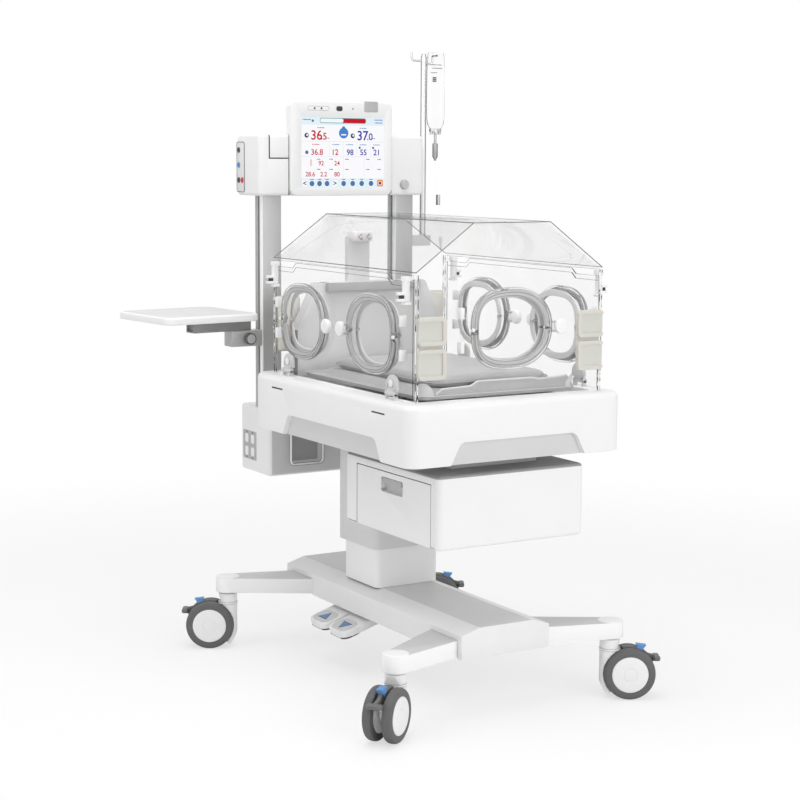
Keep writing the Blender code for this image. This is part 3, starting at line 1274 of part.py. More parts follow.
def make_head_end():
    for side, name in ((-1, "left"), (1, "right")):
        finish(f"post_{name}", post_shape(side), "grey_metal")
    front = CONTROL_X[1]
    back = MONITOR_FACE_X - MONITOR_THICK
    beam = soft_box(CONTROL_X, (-CONTROL_HALF, CONTROL_HALF), CONTROL_Z, CONTROL_EDGE, 2)
    pocket = box((back - SLIDE, front + PAST), (MONITOR_Y[0] - MONITOR_GAP, MONITOR_Y[1] + MONITOR_GAP),
                 (CONTROL_Z[0] - PAST, CONTROL_Z[1] + PAST))
    seam_x = (front - SEAM_DEPTH, front + PAST)
    upright = box(seam_x, (SEAM_Y - SEAM_HALF, SEAM_Y + SEAM_HALF), (SEAM_Z - SEAM_HALF, CONTROL_Z[1] + PAST))
    level = box(seam_x, (SEAM_Y, MONITOR_Y[0]), (SEAM_Z - SEAM_HALF, SEAM_Z + SEAM_HALF))
    bore = rod((KNOB_Y, KNOB_Z), KNOB_SHAFT + RUN, front - KNOB_SHAFT_DEPTH - SINK, front + PAST, "x", 10)
    finish("control_beam", cut(beam, pocket, upright, level, bore), "white_plastic")

    outline = rounded(MONITOR_Y, MONITOR_Z, MONITOR_CORNER, 4)
    tablet = prism(outline, back, MONITOR_FACE_X, "x")
    window = box((MONITOR_FACE_X - SCREEN_DEPTH, MONITOR_FACE_X + PAST), SCREEN_Y, SCREEN_Z)
    tablet = cut(tablet, window)
    lamp = soft_box((MONITOR_FACE_X - LAMP_X[0], MONITOR_FACE_X + LAMP_X[1]), LAMP_Y,
                    (LAMP_BOTTOM, MONITOR_Z[1] + LAMP_RISE), 0.003, 1)
    finish("monitor", join(tablet, lamp), "white_plastic", (back, 0, MONITOR_Z[0]))

    knob = rod((KNOB_Y, KNOB_Z), KNOB_RADIUS, front + 2 * TOUCH, front + KNOB_OUT, "x", 20)
    knob = join(knob, rod((KNOB_Y, KNOB_Z), KNOB_SHAFT, front - KNOB_SHAFT_DEPTH, front + 0.004, "x", 10))
    finish("control_knob", knob, "grey_plastic", (front, KNOB_Y, KNOB_Z))


# Shelf

def make_shelf():
    """The plate and its arm are drawn square about the pivot, then turned to the angle they are used at."""
    offset_x, offset_y = SHELF_OFFSET
    plan = rounded((offset_x - SHELF_LENGTH / 2, offset_x + SHELF_LENGTH / 2),
                   (offset_y - SHELF_WIDTH / 2, offset_y + SHELF_WIDTH / 2), SHELF_CORNER, 4)
    under = SHELF_TOP - SHELF_THICK
    plate = prism(plan, under, SHELF_TOP)
    bmesh.ops.bevel(plate, geom=level_edges(plate), offset=SHELF_EDGE, segments=1, profile=0.5, affect="EDGES")
    arm_bottom = under - ARM_HEIGHT
    arm = box((-ARM_HALF_WIDTH, ARM_HALF_WIDTH), (-ARM_REACH, ARM_HEEL), (arm_bottom, under + SINK))
    pin_room = under - 0.010
    shelf = cut(join(plate, arm), rod((0, 0), SHELF_PIN + RUN, arm_bottom - PAST, pin_room, steps=12))
    pivot_x, pivot_y = SHELF_PIVOT
    shelf = moved(shelf, turned_about_z(SHELF_TURN, pivot_x, pivot_y))
    finish("shelf", shelf, "white_plastic", (pivot_x, pivot_y, arm_bottom))

    clamp_top = arm_bottom - TOUCH
    half = ARM_HALF_WIDTH + CLAMP_MARGIN
    face_x = pivot_x + half
    clamp = box((pivot_x - half, face_x), (pivot_y - CLAMP_REACH, -POST_Y[1] - TOUCH),
                (clamp_top - CLAMP_HEIGHT, clamp_top))
    pivot = rod(SHELF_PIVOT, SHELF_PIN, clamp_top - 2 * SINK, pin_room - 2 * SINK, steps=12)
    knob_z = clamp_top - CLAMP_HEIGHT / 2
    knob_y = pivot_y + CLAMP_KNOB_SHIFT
    bore = rod((knob_y, knob_z), CLAMP_SHAFT + RUN, face_x - CLAMP_SHAFT_DEPTH - SINK, face_x + PAST, "x", 12)
    finish("shelf_clamp", cut(join(clamp, pivot), bore), "grey_metal")

    near, far = [face_x + out for out in CLAMP_KNOB_X]
    knob = rod((knob_y, knob_z), CLAMP_KNOB_RADIUS, near, far, "x", 16)
    shaft = rod((knob_y, knob_z), CLAMP_SHAFT, face_x - CLAMP_SHAFT_DEPTH, near + SINK, "x", 12)
    finish("clamp_knob", join(knob, shaft), "grey_plastic", (face_x, knob_y, knob_z))


# Infusion pole, bag and line

def make_infusion():
    block_y = (POST_Y[1] + TOUCH, POLE_Y + POLE_CLAMP_REACH)
    block = box((POLE_X - POLE_CLAMP_HALF, POLE_X + POLE_CLAMP_HALF), block_y,
                (POLE_BOTTOM, POLE_BOTTOM + POLE_CLAMP_HEIGHT))
    seat = POLE_BOTTOM + POLE_SEAT
    bore = rod((POLE_X, POLE_Y), POLE_RADIUS + RUN, seat, POLE_BOTTOM + POLE_CLAMP_HEIGHT + PAST, steps=16)
    finish("pole_clamp", cut(block, bore), "grey_metal")
    finish("iv_pole", pole_shape(seat), "chrome", (POLE_X, POLE_Y, POLE_BOTTOM))
    finish("infusion_bag", bag_shape(), "clear_film", (BAG_X, BAG_Y, BAG_EYE_Z))

    x, y, line_end = LINE_POINTS[-1]
    top = line_end - TOUCH
    body_low = top - CONNECTOR_LENGTH * CONNECTOR_BODY
    connector = rod((x, y), CONNECTOR_RADIUS, body_low, top, steps=12)
    tip = rod((x, y), CONNECTOR_TIP, top - CONNECTOR_LENGTH, body_low + SINK, steps=12)
    finish("line_connector", join(connector, tip), "white_plastic", (x, y, top))
    make_line()


def pole_shape(seat):
    """A tube with a stepped tip and two hooks of bent wire."""
    top = POLE_TOP - POLE_TIP
    pole = rod((POLE_X, POLE_Y), POLE_RADIUS, seat + TOUCH, top, steps=16)
    tip = rod((POLE_X, POLE_Y), POLE_RADIUS - POLE_TIP_STEP, top - SINK, top + 0.006, steps=12)
    inner_z = BAG_EYE_Z - HOOK_BELOW_EYE
    outer_z = inner_z - HOOK_STEP
    inner_y = POLE_Y - INNER_HOOK
    inner = bent_tube(((POLE_X, POLE_Y, inner_z), (POLE_X, inner_y, inner_z), (POLE_X, inner_y, POLE_TOP)),
                      HOOK_RADIUS, 0.008, 8)
    outer = bent_tube(((POLE_X, POLE_Y, outer_z), (POLE_X, BAG_Y, outer_z), (POLE_X, BAG_Y, BAG_EYE_Z),
                       (BAG_X + OUTER_HOOK, BAG_Y, BAG_EYE_Z)), HOOK_RADIUS, 0.006, 8)
    return join(pole, tip, inner, outer)


def bag_shape():
    """A pouch that is thick in the middle and flat at its welded top, with the drip chamber under it."""
    half = BAG_WIDTH / 2
    thick = BAG_THICK / 2
    neck = BAG_EYE_Z - BAG_NECK
    sections = (
        (0.010, 0.006, BAG_BOTTOM - 0.008),
        (half * 0.80, thick * 0.68, BAG_BOTTOM),
        (half, thick, BAG_BOTTOM + 0.030),
        (half, thick, neck - 0.080),
        (half * 0.98, thick * 0.56, neck - 0.026),
        (half * 0.94, BAG_SEAM_HALF, neck),
        (half * 0.90, BAG_SEAM_HALF, BAG_EYE_Z + BAG_HEM),
    )
    rings = []
    for half_y, half_x, height in sections:
        corner = min(half_x, half_y) * 0.9
        ring = rounded((BAG_X - half_x, BAG_X + half_x), (BAG_Y - half_y, BAG_Y + half_y), corner, 2)
        rings.append([(x, y, height) for x, y in ring])
    eye_radius = HOOK_RADIUS + BAG_EYE_MARGIN
    eye_z = BAG_EYE_Z + HOOK_RADIUS + TOUCH - eye_radius
    bag = cut(loft(rings), rod((BAG_Y, eye_z), eye_radius, BAG_X - half, BAG_X + half, "x", 10))
    for radius, low, high in (BAG_PORT, SPIKE, CHAMBER, OUTLET):
        bag = join(bag, rod((BAG_X, BAG_Y), radius, BAG_BOTTOM - low, BAG_BOTTOM - high, steps=12))
    return bag


def smooth_path(points, count):
    """Read points along a Catmull-Rom curve through the given ones."""
    knots = [Vector(point) for point in points]
    ends = [knots[0] * 2 - knots[1]] + knots + [knots[-1] * 2 - knots[-2]]
    path = []
    for index in range(count + 1):
        place = index / count * (len(knots) - 1)
        part = min(int(place), len(knots) - 2)
        t = place - part
        a, b, c, d = ends[part:part + 4]
        path.append(0.5 * (b * 2 + (c - a) * t + (a * 2 - b * 5 + c * 4 - d) * t ** 2
                           + (b * 3 - a - c * 3 + d) * t ** 3))
    return path


def make_line():
    curve = bpy.data.curves.new("infusion_line", "CURVE")
    curve.dimensions = "3D"
    curve.bevel_depth = LINE_RADIUS
    curve.bevel_resolution = 2
    curve.use_fill_caps = True
    path = smooth_path(LINE_POINTS, 40)
    path[0].z = BAG_BOTTOM - OUTLET[1] - TOUCH
    spline = curve.splines.new("POLY")
    spline.points.add(len(path) - 1)
    for point, place in zip(spline.points, path):
        point.co = (*place, 1.0)
    curve.materials.append(material("clear_film"))
    obj = bpy.data.objects.new("infusion_line", curve)
    bpy.context.scene.collection.objects.link(obj)


def centre_on_floor():
    """Hang everything from one empty that puts the bounding box's bottom centre at the origin."""
    bpy.context.view_layer.update()
    low = Vector((math.inf,) * 3)
    high = Vector((-math.inf,) * 3)
    solids = list(bpy.context.scene.collection.objects)
    for obj in solids:
        for corner in obj.bound_box:
            point = obj.matrix_world @ Vector(corner)
            low = Vector(map(min, low, point))
            high = Vector(map(max, high, point))
    centre = bpy.data.objects.new("incubator_centre", None)
    bpy.context.scene.collection.objects.link(centre)
    centre.location = (-(low.x + high.x) / 2, -(low.y + high.y) / 2, -low.z)
    for obj in solids:
        obj.parent = centre


empty_scene()
make_casters()
make_chassis()
make_column()
make_body()
make_ports()
make_hood()
make_cabinet()
make_power_box()
make_head_end()
make_shelf()
make_infusion()
centre_on_floor()
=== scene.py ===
# %% [markdown]
# An infant incubator on a hospital trolley, dressed piece by piece over its CAD frame. The frame already
# has every moving body in place, so this script only gives each body its finished shapes and finishes. All
# the pieces are drawn in the frame's own coordinates, in metres, with X towards the foot end and -Y towards
# the operator.

# %% Load the frame
import math

import bmesh
import bpy
from mathutils import Matrix, Vector


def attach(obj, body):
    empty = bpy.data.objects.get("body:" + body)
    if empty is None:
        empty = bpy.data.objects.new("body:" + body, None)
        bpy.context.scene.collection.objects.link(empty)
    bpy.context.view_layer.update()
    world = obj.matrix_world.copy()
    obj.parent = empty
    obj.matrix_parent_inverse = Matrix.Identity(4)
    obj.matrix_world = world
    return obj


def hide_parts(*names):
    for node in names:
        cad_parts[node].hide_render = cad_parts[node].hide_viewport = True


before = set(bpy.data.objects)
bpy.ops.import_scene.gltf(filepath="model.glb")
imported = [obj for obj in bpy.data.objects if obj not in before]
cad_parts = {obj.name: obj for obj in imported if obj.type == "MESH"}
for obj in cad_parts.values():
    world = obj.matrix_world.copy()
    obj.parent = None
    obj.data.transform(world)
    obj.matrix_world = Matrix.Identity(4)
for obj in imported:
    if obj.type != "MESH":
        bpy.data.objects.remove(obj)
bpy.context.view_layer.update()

scene = bpy.context.scene
scene.view_settings.view_transform = "Standard"

# %% [markdown]
# A few small helpers are used all over. They put data in the scene as an object, make a node with its
# settings and constant values, link nodes, give an object's finished mesh, and write a shift or a turn as a
# matrix.


# %% Small helpers
def put(name, data):
    obj = bpy.data.objects.new(name, data)
    scene.collection.objects.link(obj)
    return obj


def add(tree, kind, values=None, **settings):
    """A new node with its settings and its inputs' constant values."""
    node = tree.nodes.new(kind)
    for key, value in settings.items():
        setattr(node, key, value)
    for socket, value in (values or {}).items():
        node.inputs[socket].default_value = value
    return node


def join_up(tree, *pairs):
    for output, socket in pairs:
        tree.links.new(output, socket)


def settled(obj):
    """The object's mesh with its modifiers applied."""
    return bpy.data.meshes.new_from_object(obj.evaluated_get(bpy.context.evaluated_depsgraph_get()))


def mesh_of(shape, name):
    mesh = bpy.data.meshes.new(name)
    shape.to_mesh(mesh)
    shape.free()
    return mesh


def at(x, y, z):
    return Matrix.Translation((x, y, z))


def spin(degrees, axis):
    return Matrix.Rotation(math.radians(degrees), 4, axis)


print("view", scene.view_settings.view_transform)

# %% [markdown]
# The measured sizes of the hood, the tray and the ports are easiest to read from the middle of the hood.
# SHIFT takes such a point to the frame, whose origin lies on the floor under the whole incubator.

# %% Where the hood's middle lies in the frame
SHIFT = Vector((0.096011, 0.079998, 0.0))

# %% [markdown]
# The camera stands at the foot end, a little to the operator's side, and looks slightly down. Its position
# and direction are the ones at which the fitted model lands on the photograph. A long lens keeps the
# uprights straight.

# %% Camera
CAMERA_PLACE = Vector((3.727965, -2.324103, 1.293503)) + SHIFT
CAMERA_RIGHT = Vector((0.513592, 0.858013, 0.006084))
CAMERA_UP = Vector((-0.117243, 0.063152, 0.991093))
CAMERA_AHEAD = Vector((-0.849987, 0.509731, -0.13303))
CAMERA_LENS = 81.28
CAMERA_SENSOR = 36.0

camera_data = bpy.data.cameras.new("studio_camera")
camera_data.lens = CAMERA_LENS
camera_data.sensor_width = CAMERA_SENSOR
camera = put("studio_camera", camera_data)
turn = Matrix((CAMERA_RIGHT, CAMERA_UP, -CAMERA_AHEAD)).transposed().to_4x4()
camera.matrix_world = Matrix.Translation(CAMERA_PLACE) @ turn
scene.camera = camera
print("camera", [round(value, 3) for value in CAMERA_PLACE])

# %% [markdown]
# Nearly everything here is white, so the studio is one pale dome that lights all sides, with three broad
# lamps: one overhead, one at the foot end, whose faces are the brightest, and a weaker one on the
# operator's side. The world is pure white wherever the camera, a reflection or a clear wall looks at it,
# and dimmer as a light, so that the whites keep their shading and the undersides go grey.

# %% World and lamps
world = bpy.data.worlds.new("pale_studio")
scene.world = world
world.use_nodes = True
sky = world.node_tree
background = sky.nodes["Background"]
background.inputs["Color"].default_value = (1.0, 1.0, 1.0, 1.0)
light_path = add(sky, "ShaderNodeLightPath")
seen = add(sky, "ShaderNodeMath", operation="MAXIMUM")
seen_or_mirrored = add(sky, "ShaderNodeMath", operation="MAXIMUM")
strength = add(sky, "ShaderNodeMapRange", {"To Min": 0.60, "To Max": 1.0})
join_up(sky, (light_path.outputs["Is Camera Ray"], seen.inputs[0]),
        (light_path.outputs["Is Transmission Ray"], seen.inputs[1]),
        (seen.outputs[0], seen_or_mirrored.inputs[0]),
        (light_path.outputs["Is Glossy Ray"], seen_or_mirrored.inputs[1]),
        (seen_or_mirrored.outputs[0], strength.inputs["Value"]),
        (strength.outputs["Result"], background.inputs["Strength"]))


def soft_lamp(name, place, target, size, power):
    data = bpy.data.lights.new(name, "AREA")
    data.shape = "RECTANGLE"
    data.size = size
    data.size_y = size
    data.energy = power
    lamp = put(name, data)
    lamp.location = place
    lamp.rotation_euler = (Vector(target) - Vector(place)).to_track_quat("-Z", "Y").to_euler()


soft_lamp("foot_end_lamp", (3.4, 0.6, 1.6), (0.2, 0.0, 0.8), 2.2, 34.0)
soft_lamp("operator_lamp", (-0.4, -3.4, 1.7), (0.1, 0.0, 0.7), 2.2, 13.0)
soft_lamp("ceiling_lamp", (0.2, -0.6, 3.4), (0.1, 0.0, 0.7), 2.4, 46.0)
print("lamps", len(bpy.data.lights))

# %% [markdown]
# The floor is a wide white disc. Close to the wheels it keeps faint soft shadows, as on a lit table, and
# further out it fades to plain white for the camera, so that no horizon shows.

# %% Floor
FLOOR_RADIUS = 14.0
FADE_START = 1.2
FADE_END = 3.2
WHITE_SHARE = 0.62

floor_shape = bmesh.new()
bmesh.ops.create_circle(floor_shape, cap_ends=True, segments=96, radius=FLOOR_RADIUS)
floor = put("floor", mesh_of(floor_shape, "floor"))
floor_finish = bpy.data.materials.new("floor_finish")
floor_finish.use_nodes = True
tree = floor_finish.node_tree
floor_shader = tree.nodes["Principled BSDF"]
for socket, value in (("Base Color", (0.93, 0.93, 0.93, 1.0)), ("Roughness", 0.9),
                      ("Specular IOR Level", 0.1)):
    floor_shader.inputs[socket].default_value = value
plain_white = add(tree, "ShaderNodeEmission", {"Strength": 1.0})
place = add(tree, "ShaderNodeTexCoord")
distance = add(tree, "ShaderNodeVectorMath", operation="LENGTH")
fade = add(tree, "ShaderNodeMapRange", {"From Min": FADE_START, "From Max": FADE_END, "To Min": WHITE_SHARE},
           interpolation_type="SMOOTHSTEP")
ray = add(tree, "ShaderNodeLightPath")
seen_ray = add(tree, "ShaderNodeMath", operation="MAXIMUM")
both_shares = add(tree, "ShaderNodeMath", operation="MULTIPLY")
mixed = add(tree, "ShaderNodeMixShader")
join_up(tree, (place.outputs["Object"], distance.inputs[0]),
        (distance.outputs["Value"], fade.inputs["Value"]),
        (ray.outputs["Is Camera Ray"], seen_ray.inputs[0]),
        (ray.outputs["Is Transmission Ray"], seen_ray.inputs[1]),
        (fade.outputs["Result"], both_shares.inputs[0]), (seen_ray.outputs[0], both_shares.inputs[1]),
        (both_shares.outputs[0], mixed.inputs["Fac"]), (floor_shader.outputs["BSDF"], mixed.inputs[1]),
        (plain_white.outputs["Emission"], mixed.inputs[2]),
        (mixed.outputs["Shader"], tree.nodes["Material Output"].inputs["Surface"]))
floor.data.materials.append(floor_finish)
print("floor radius", FLOOR_RADIUS)

# %% [markdown]
# Three effects come back in many finishes, so each is a shader node group. Moulded grain is the faint
# orange peel of painted metal and moulded plastic. Brushed lines are the fine scratches along a drawn or
# polished bar. Wipe marks are the cloudy patches that cleaning leaves, and they only change the roughness.


# %% Shader node groups
def new_group(name, inputs, outputs):
    tree = bpy.data.node_groups.new(name, "ShaderNodeTree")
    for socket, value in inputs.items():
        made = tree.interface.new_socket(socket, in_out="INPUT", socket_type="NodeSocketFloat")
        made.default_value = value
    for socket in outputs:
        tree.interface.new_socket(socket, in_out="OUTPUT", socket_type="NodeSocketFloat")
    return tree, tree.nodes.new("NodeGroupInput"), tree.nodes.new("NodeGroupOutput")


def noise_in(tree, vector, scale, detail):
    noise = add(tree, "ShaderNodeTexNoise", {"Detail": detail})
    join_up(tree, (vector, noise.inputs["Vector"]), (scale, noise.inputs["Scale"]))
    return noise.outputs["Fac"]


def make_moulded_grain():
    tree, given, result = new_group("moulded_grain", {"Scale": 300.0, "Spread": 0.5}, ("Tone", "Height"))
    place = add(tree, "ShaderNodeTexCoord").outputs["Object"]
    broad = add(tree, "ShaderNodeMath", {1: 0.02}, operation="MULTIPLY")
    spread = add(tree, "ShaderNodeMapRange")
    for socket, operation in (("From Min", "SUBTRACT"), ("From Max", "ADD")):
        limit = add(tree, "ShaderNodeMath", {0: 0.5}, operation=operation)
        join_up(tree, (given.outputs["Spread"], limit.inputs[1]), (limit.outputs[0], spread.inputs[socket]))
    join_up(tree, (given.outputs["Scale"], broad.inputs[0]),
            (noise_in(tree, place, broad.outputs[0], 3.0), spread.inputs["Value"]),
            (spread.outputs["Result"], result.inputs["Tone"]),
            (noise_in(tree, place, given.outputs["Scale"], 2.0), result.inputs["Height"]))
    return tree


def make_brushed_lines():
    inputs = {"Scale": 900.0, "Along X": 1.0, "Along Y": 1.0, "Along Z": 0.02}
    tree, given, result = new_group("brushed_lines", inputs, ("Tone", "Height"))
    place = add(tree, "ShaderNodeTexCoord").outputs["Object"]
    stretch = add(tree, "ShaderNodeCombineXYZ")
    for axis in "XYZ":
        tree.links.new(given.outputs[f"Along {axis}"], stretch.inputs[axis])
    scaled = add(tree, "ShaderNodeVectorMath", operation="MULTIPLY")
    join_up(tree, (place, scaled.inputs[0]), (stretch.outputs[0], scaled.inputs[1]))
    lines = noise_in(tree, scaled.outputs[0], given.outputs["Scale"], 3.0)
    join_up(tree, (lines, result.inputs["Tone"]), (lines, result.inputs["Height"]))
    return tree


def make_wipe_marks():
    tree, given, result = new_group("wipe_marks", {"Scale": 9.0, "Least": 0.3, "Most": 0.4}, ("Roughness",))
    place = add(tree, "ShaderNodeTexCoord").outputs["Object"]
    cloud = noise_in(tree, place, given.outputs["Scale"], 5.0)
    spread = add(tree, "ShaderNodeMapRange", {"From Min": 0.35, "From Max": 0.65})
    join_up(tree, (cloud, spread.inputs["Value"]), (given.outputs["Least"], spread.inputs["To Min"]),
            (given.outputs["Most"], spread.inputs["To Max"]),
            (spread.outputs["Result"], result.inputs["Roughness"]))
    return tree


MOULDED_GRAIN = make_moulded_grain()
BRUSHED_LINES = make_brushed_lines()
WIPE_MARKS = make_wipe_marks()
print("groups", [tree.name for tree in bpy.data.node_groups])

# %% [markdown]
# Every opaque finish is the same short recipe with its own values: two close tones mixed by a pattern, a
# roughness that the wipe marks vary, and a shallow bump. What makes powder coat, silicone or anodised metal
# look different is the grain's size and depth, the roughness and the metallic value.


# %% Opaque finishes
def grey(level):
    return (level, level, level)


def new_finish(name, **values):
    """A material with its node tree and its shader, and the shader's constant values."""
    finish = bpy.data.materials.new(name)
    finish.use_nodes = True
    shader = finish.node_tree.nodes["Principled BSDF"]
    for socket, value in values.items():
        shader.inputs[socket.replace("_", " ")].default_value = value
    return finish, finish.node_tree, shader


def wiped(tree, shader, roughness):
    marks = add(tree, "ShaderNodeGroup", node_tree=WIPE_MARKS)
    marks.inputs["Least"].default_value, marks.inputs["Most"].default_value = roughness
    tree.links.new(marks.outputs["Roughness"], shader.inputs["Roughness"])


def opaque(name, tones, roughness, grain=300.0, depth=0.00003, metallic=0.0, pattern=MOULDED_GRAIN,
           along=None, spread=None, **shader_values):
    finish, tree, shader = new_finish(name, Metallic=metallic, **shader_values)
    surface = add(tree, "ShaderNodeGroup", node_tree=pattern)
    surface.inputs["Scale"].default_value = grain
    if spread:
        surface.inputs["Spread"].default_value = spread
    for axis, value in zip("XYZ", along or ()):
        surface.inputs[f"Along {axis}"].default_value = value
    first, second = [grey(tone) if isinstance(tone, float) else tone for tone in tones]
    tint = add(tree, "ShaderNodeMix", {"A": (*first, 1.0), "B": (*second, 1.0)}, data_type="RGBA")
    wiped(tree, shader, roughness)
    bump = add(tree, "ShaderNodeBump", {"Strength": 0.6, "Distance": depth})
    join_up(tree, (surface.outputs["Tone"], tint.inputs["Factor"]),
            (tint.outputs["Result"], shader.inputs["Base Color"]),
            (surface.outputs["Height"], bump.inputs["Height"]),
            (bump.outputs["Normal"], shader.inputs["Normal"]))
    return finish


white_moulding = opaque("white_moulding", (0.84, 0.88), (0.30, 0.42), 420.0)
powder_coat = opaque("powder_coat", (0.80, 0.85), (0.38, 0.50), 900.0, 0.00005)
grey_coat = opaque("grey_coat", (0.60, 0.66), (0.42, 0.55), 900.0, 0.00005)
light_grey_moulding = opaque("light_grey_moulding", (0.60, 0.65), (0.40, 0.52), 500.0)
mid_grey_moulding = opaque("mid_grey_moulding", (0.42, 0.47), (0.40, 0.55), 500.0)
dark_moulding = opaque("dark_moulding", (0.055, 0.08), (0.42, 0.60), 600.0, 0.00006)
gap_black = opaque("gap_black", (0.02, 0.035), (0.55, 0.70), 600.0)
tyre_rubber = opaque("tyre_rubber", (0.10, 0.13), (0.55, 0.72), 700.0, 0.00010)
brake_moulding = opaque("brake_moulding", (0.12, 0.16), (0.42, 0.60), 600.0, 0.00006)
bright_coat = opaque("bright_coat", (0.90, 0.94), (0.36, 0.48), 900.0, 0.00005)
column_coat = opaque("column_coat", (0.66, 0.71), (0.38, 0.50), 900.0, 0.00005)
recess_moulding = opaque("recess_moulding", (0.62, 0.66), (0.32, 0.44), 420.0)
knob_moulding = opaque("knob_moulding", (0.49, 0.53), (0.38, 0.50), 500.0)
arm_metal = opaque("arm_metal", (0.24, 0.29), (0.34, 0.44), 900.0, 0.00002, 0.2, BRUSHED_LINES,
                   (1.0, 0.02, 1.0))
duct_moulding = opaque("duct_moulding", (0.50, 0.55), (0.40, 0.52), 500.0)
ledge_moulding = opaque("ledge_moulding", (0.33, 0.37), (0.40, 0.52), 500.0)
silicone = opaque("cream_silicone", ((0.62, 0.60, 0.55), (0.67, 0.65, 0.60)), (0.50, 0.62), 500.0, 0.00005,
                  Subsurface_Weight=0.1)
anodised = opaque("anodised_bar", (0.44, 0.52), (0.34, 0.44), 900.0, 0.00002, 0.35, BRUSHED_LINES,
                  (1.0, 1.0, 0.02))
sensor_label = opaque("sensor_label", (0.74, 0.78), (0.40, 0.50), 500.0)
lamp_lens = opaque("lamp_lens", (0.42, 0.46), (0.18, 0.26), 600.0)
blue_moulding = opaque("blue_moulding", ((0.10, 0.26, 0.55), (0.13, 0.31, 0.62)), (0.38, 0.50), 500.0)
arrow_blue = opaque("arrow_blue", ((0.10, 0.22, 0.45), (0.12, 0.25, 0.50)), (0.38, 0.50), 500.0)
ink_blue = opaque("ink_blue", ((0.03, 0.07, 0.18), (0.04, 0.09, 0.22)), (0.38, 0.50), 500.0)
red_moulding = opaque("red_moulding", ((0.55, 0.04, 0.05), (0.62, 0.06, 0.06)), (0.35, 0.45), 500.0)
mattress_cover = opaque("mattress_cover", (0.29, 0.33), (0.48, 0.60), 1400.0, 0.00008,
                        Sheen_Weight=0.1)
bracket_moulding = opaque("bracket_moulding", (0.62, 0.68), (0.34, 0.46), 500.0,
                          Subsurface_Weight=0.1)
bed_moulding = opaque("bed_moulding", (0.31, 0.35), (0.40, 0.52), 500.0)
deck_moulding = opaque("deck_moulding", (0.13, 0.17), (0.40, 0.52), 500.0)
port_gasket = opaque("port_gasket", (0.52, 0.60), (0.42, 0.55), 500.0, 0.00004)
glinting_edge = opaque("glinting_edge", (0.03, 0.90), (0.10, 0.20), 3600.0, 0.00001, spread=0.07)
dark_edge = opaque("dark_edge", (0.07, 0.13), (0.15, 0.25), 3600.0, 0.00001)


def painted_reflection_bar(name, middle, edge, roughness, metallic=0.0):
    """A finish with a painted reflection of a white room on a round bar: pale along its middle and dark where
    it turns away.
    """
    finish = opaque(name, (middle, edge), roughness, metallic=metallic)
    tree = finish.node_tree
    shader = tree.nodes["Principled BSDF"]
    turn = add(tree, "ShaderNodeLayerWeight")
    share = add(tree, "ShaderNodeMapRange", {"From Min": 0.10, "From Max": 0.42})
    tint = shader.inputs["Base Color"].links[0].from_node
    join_up(tree, (turn.outputs["Facing"], share.inputs["Value"]),
            (share.outputs["Result"], tint.inputs["Factor"]))
    return finish


# The pole, the hose rail, the drip chamber and the connectors take these painted reflections.
bright_tube = painted_reflection_bar("bright_tube", 0.93, 0.16, (0.16, 0.26))
chamber_tint = painted_reflection_bar("chamber_tint", 0.46, 0.10, (0.10, 0.20))
connector_tint = painted_reflection_bar("connector_tint", 0.72, 0.14, (0.20, 0.30))
print("opaque finishes", len(bpy.data.materials) - 1)

# %% [markdown]
# Thick clear mouldings, such as the port rims, bend light as acrylic does. A flat sheet barely shifts what
# is behind it, so it hardly bends, and its gloss comes from a coat. A shadow ray passes straight through
# either one, because the inside of the hood would otherwise stay dark.


# %% Clear finishes
def clear(name, tone, roughness, ior=1.49, transmission=1.0, shadow=0.96, straight=0.0, coat=0.0):
    finish, tree, shader = new_finish(name, Base_Color=(*grey(tone), 1.0), IOR=ior,
                                      Transmission_Weight=transmission, Coat_Weight=coat,
                                      Coat_Roughness=0.01)
    wiped(tree, shader, roughness)
    through = add(tree, "ShaderNodeBsdfTransparent", {"Color": (*grey(shadow * tone), 1.0)})
    mix = add(tree, "ShaderNodeMixShader")
    rays = add(tree, "ShaderNodeLightPath")
    share = add(tree, "ShaderNodeMath", {1: straight}, operation="MAXIMUM")
    join_up(tree, (rays.outputs["Is Shadow Ray"], share.inputs[0]), (share.outputs[0], mix.inputs["Fac"]),
            (shader.outputs["BSDF"], mix.inputs[1]), (through.outputs["BSDF"], mix.inputs[2]),
            (mix.outputs["Shader"], tree.nodes["Material Output"].inputs["Surface"]))
    return finish


# The roof's finishes are the same acrylic tinted greyer, as painted shade.
clear_acrylic = clear("clear_acrylic", 0.99, (0.0, 0.004), 1.001, straight=0.3, coat=0.32)
roof_acrylic = clear("roof_acrylic", 0.955, (0.0, 0.004), 1.001, straight=0.3, coat=0.45)
flat_roof_acrylic = clear("flat_roof_acrylic", 0.90, (0.0, 0.004), 1.001, straight=0.3, coat=0.45)
thick_acrylic = clear("thick_acrylic", 0.95, (0.0, 0.02), 1.42)
edge_shade_acrylic = clear("polished_edge", 0.30, (0.02, 0.06))
frosted = clear("frosted_gasket", 0.93, (0.22, 0.34), 1.42, 0.75, 0.9)
clear_film = clear("clear_film", 0.97, (0.04, 0.10), 1.38)
print("clear finishes ready")


# %% [markdown]
# The screen is lit from inside. Each patch of its picture is a flat shape with a glowing finish, and all of
# it is generic: plain numbers, round buttons and bars.


# %% Glowing finishes for the screen
def glowing(name, colour):
    finish, tree, shader = new_finish(name, Base_Color=(0.0, 0.0, 0.0, 1.0), Roughness=0.3,
                                      Specular_IOR_Level=0.05, Emission_Strength=1.0)
    grid = add(tree, "ShaderNodeGroup", node_tree=MOULDED_GRAIN)
    grid.inputs["Scale"].default_value = 1500.0
    brighter = (*[min(1.0, level * 1.04 + 0.004) for level in colour], 1.0)
    tint = add(tree, "ShaderNodeMix", {"A": (*colour, 1.0), "B": brighter}, data_type="RGBA")
    join_up(tree, (grid.outputs["Tone"], tint.inputs["Factor"]),
            (tint.outputs["Result"], shader.inputs["Emission Color"]))
    return finish


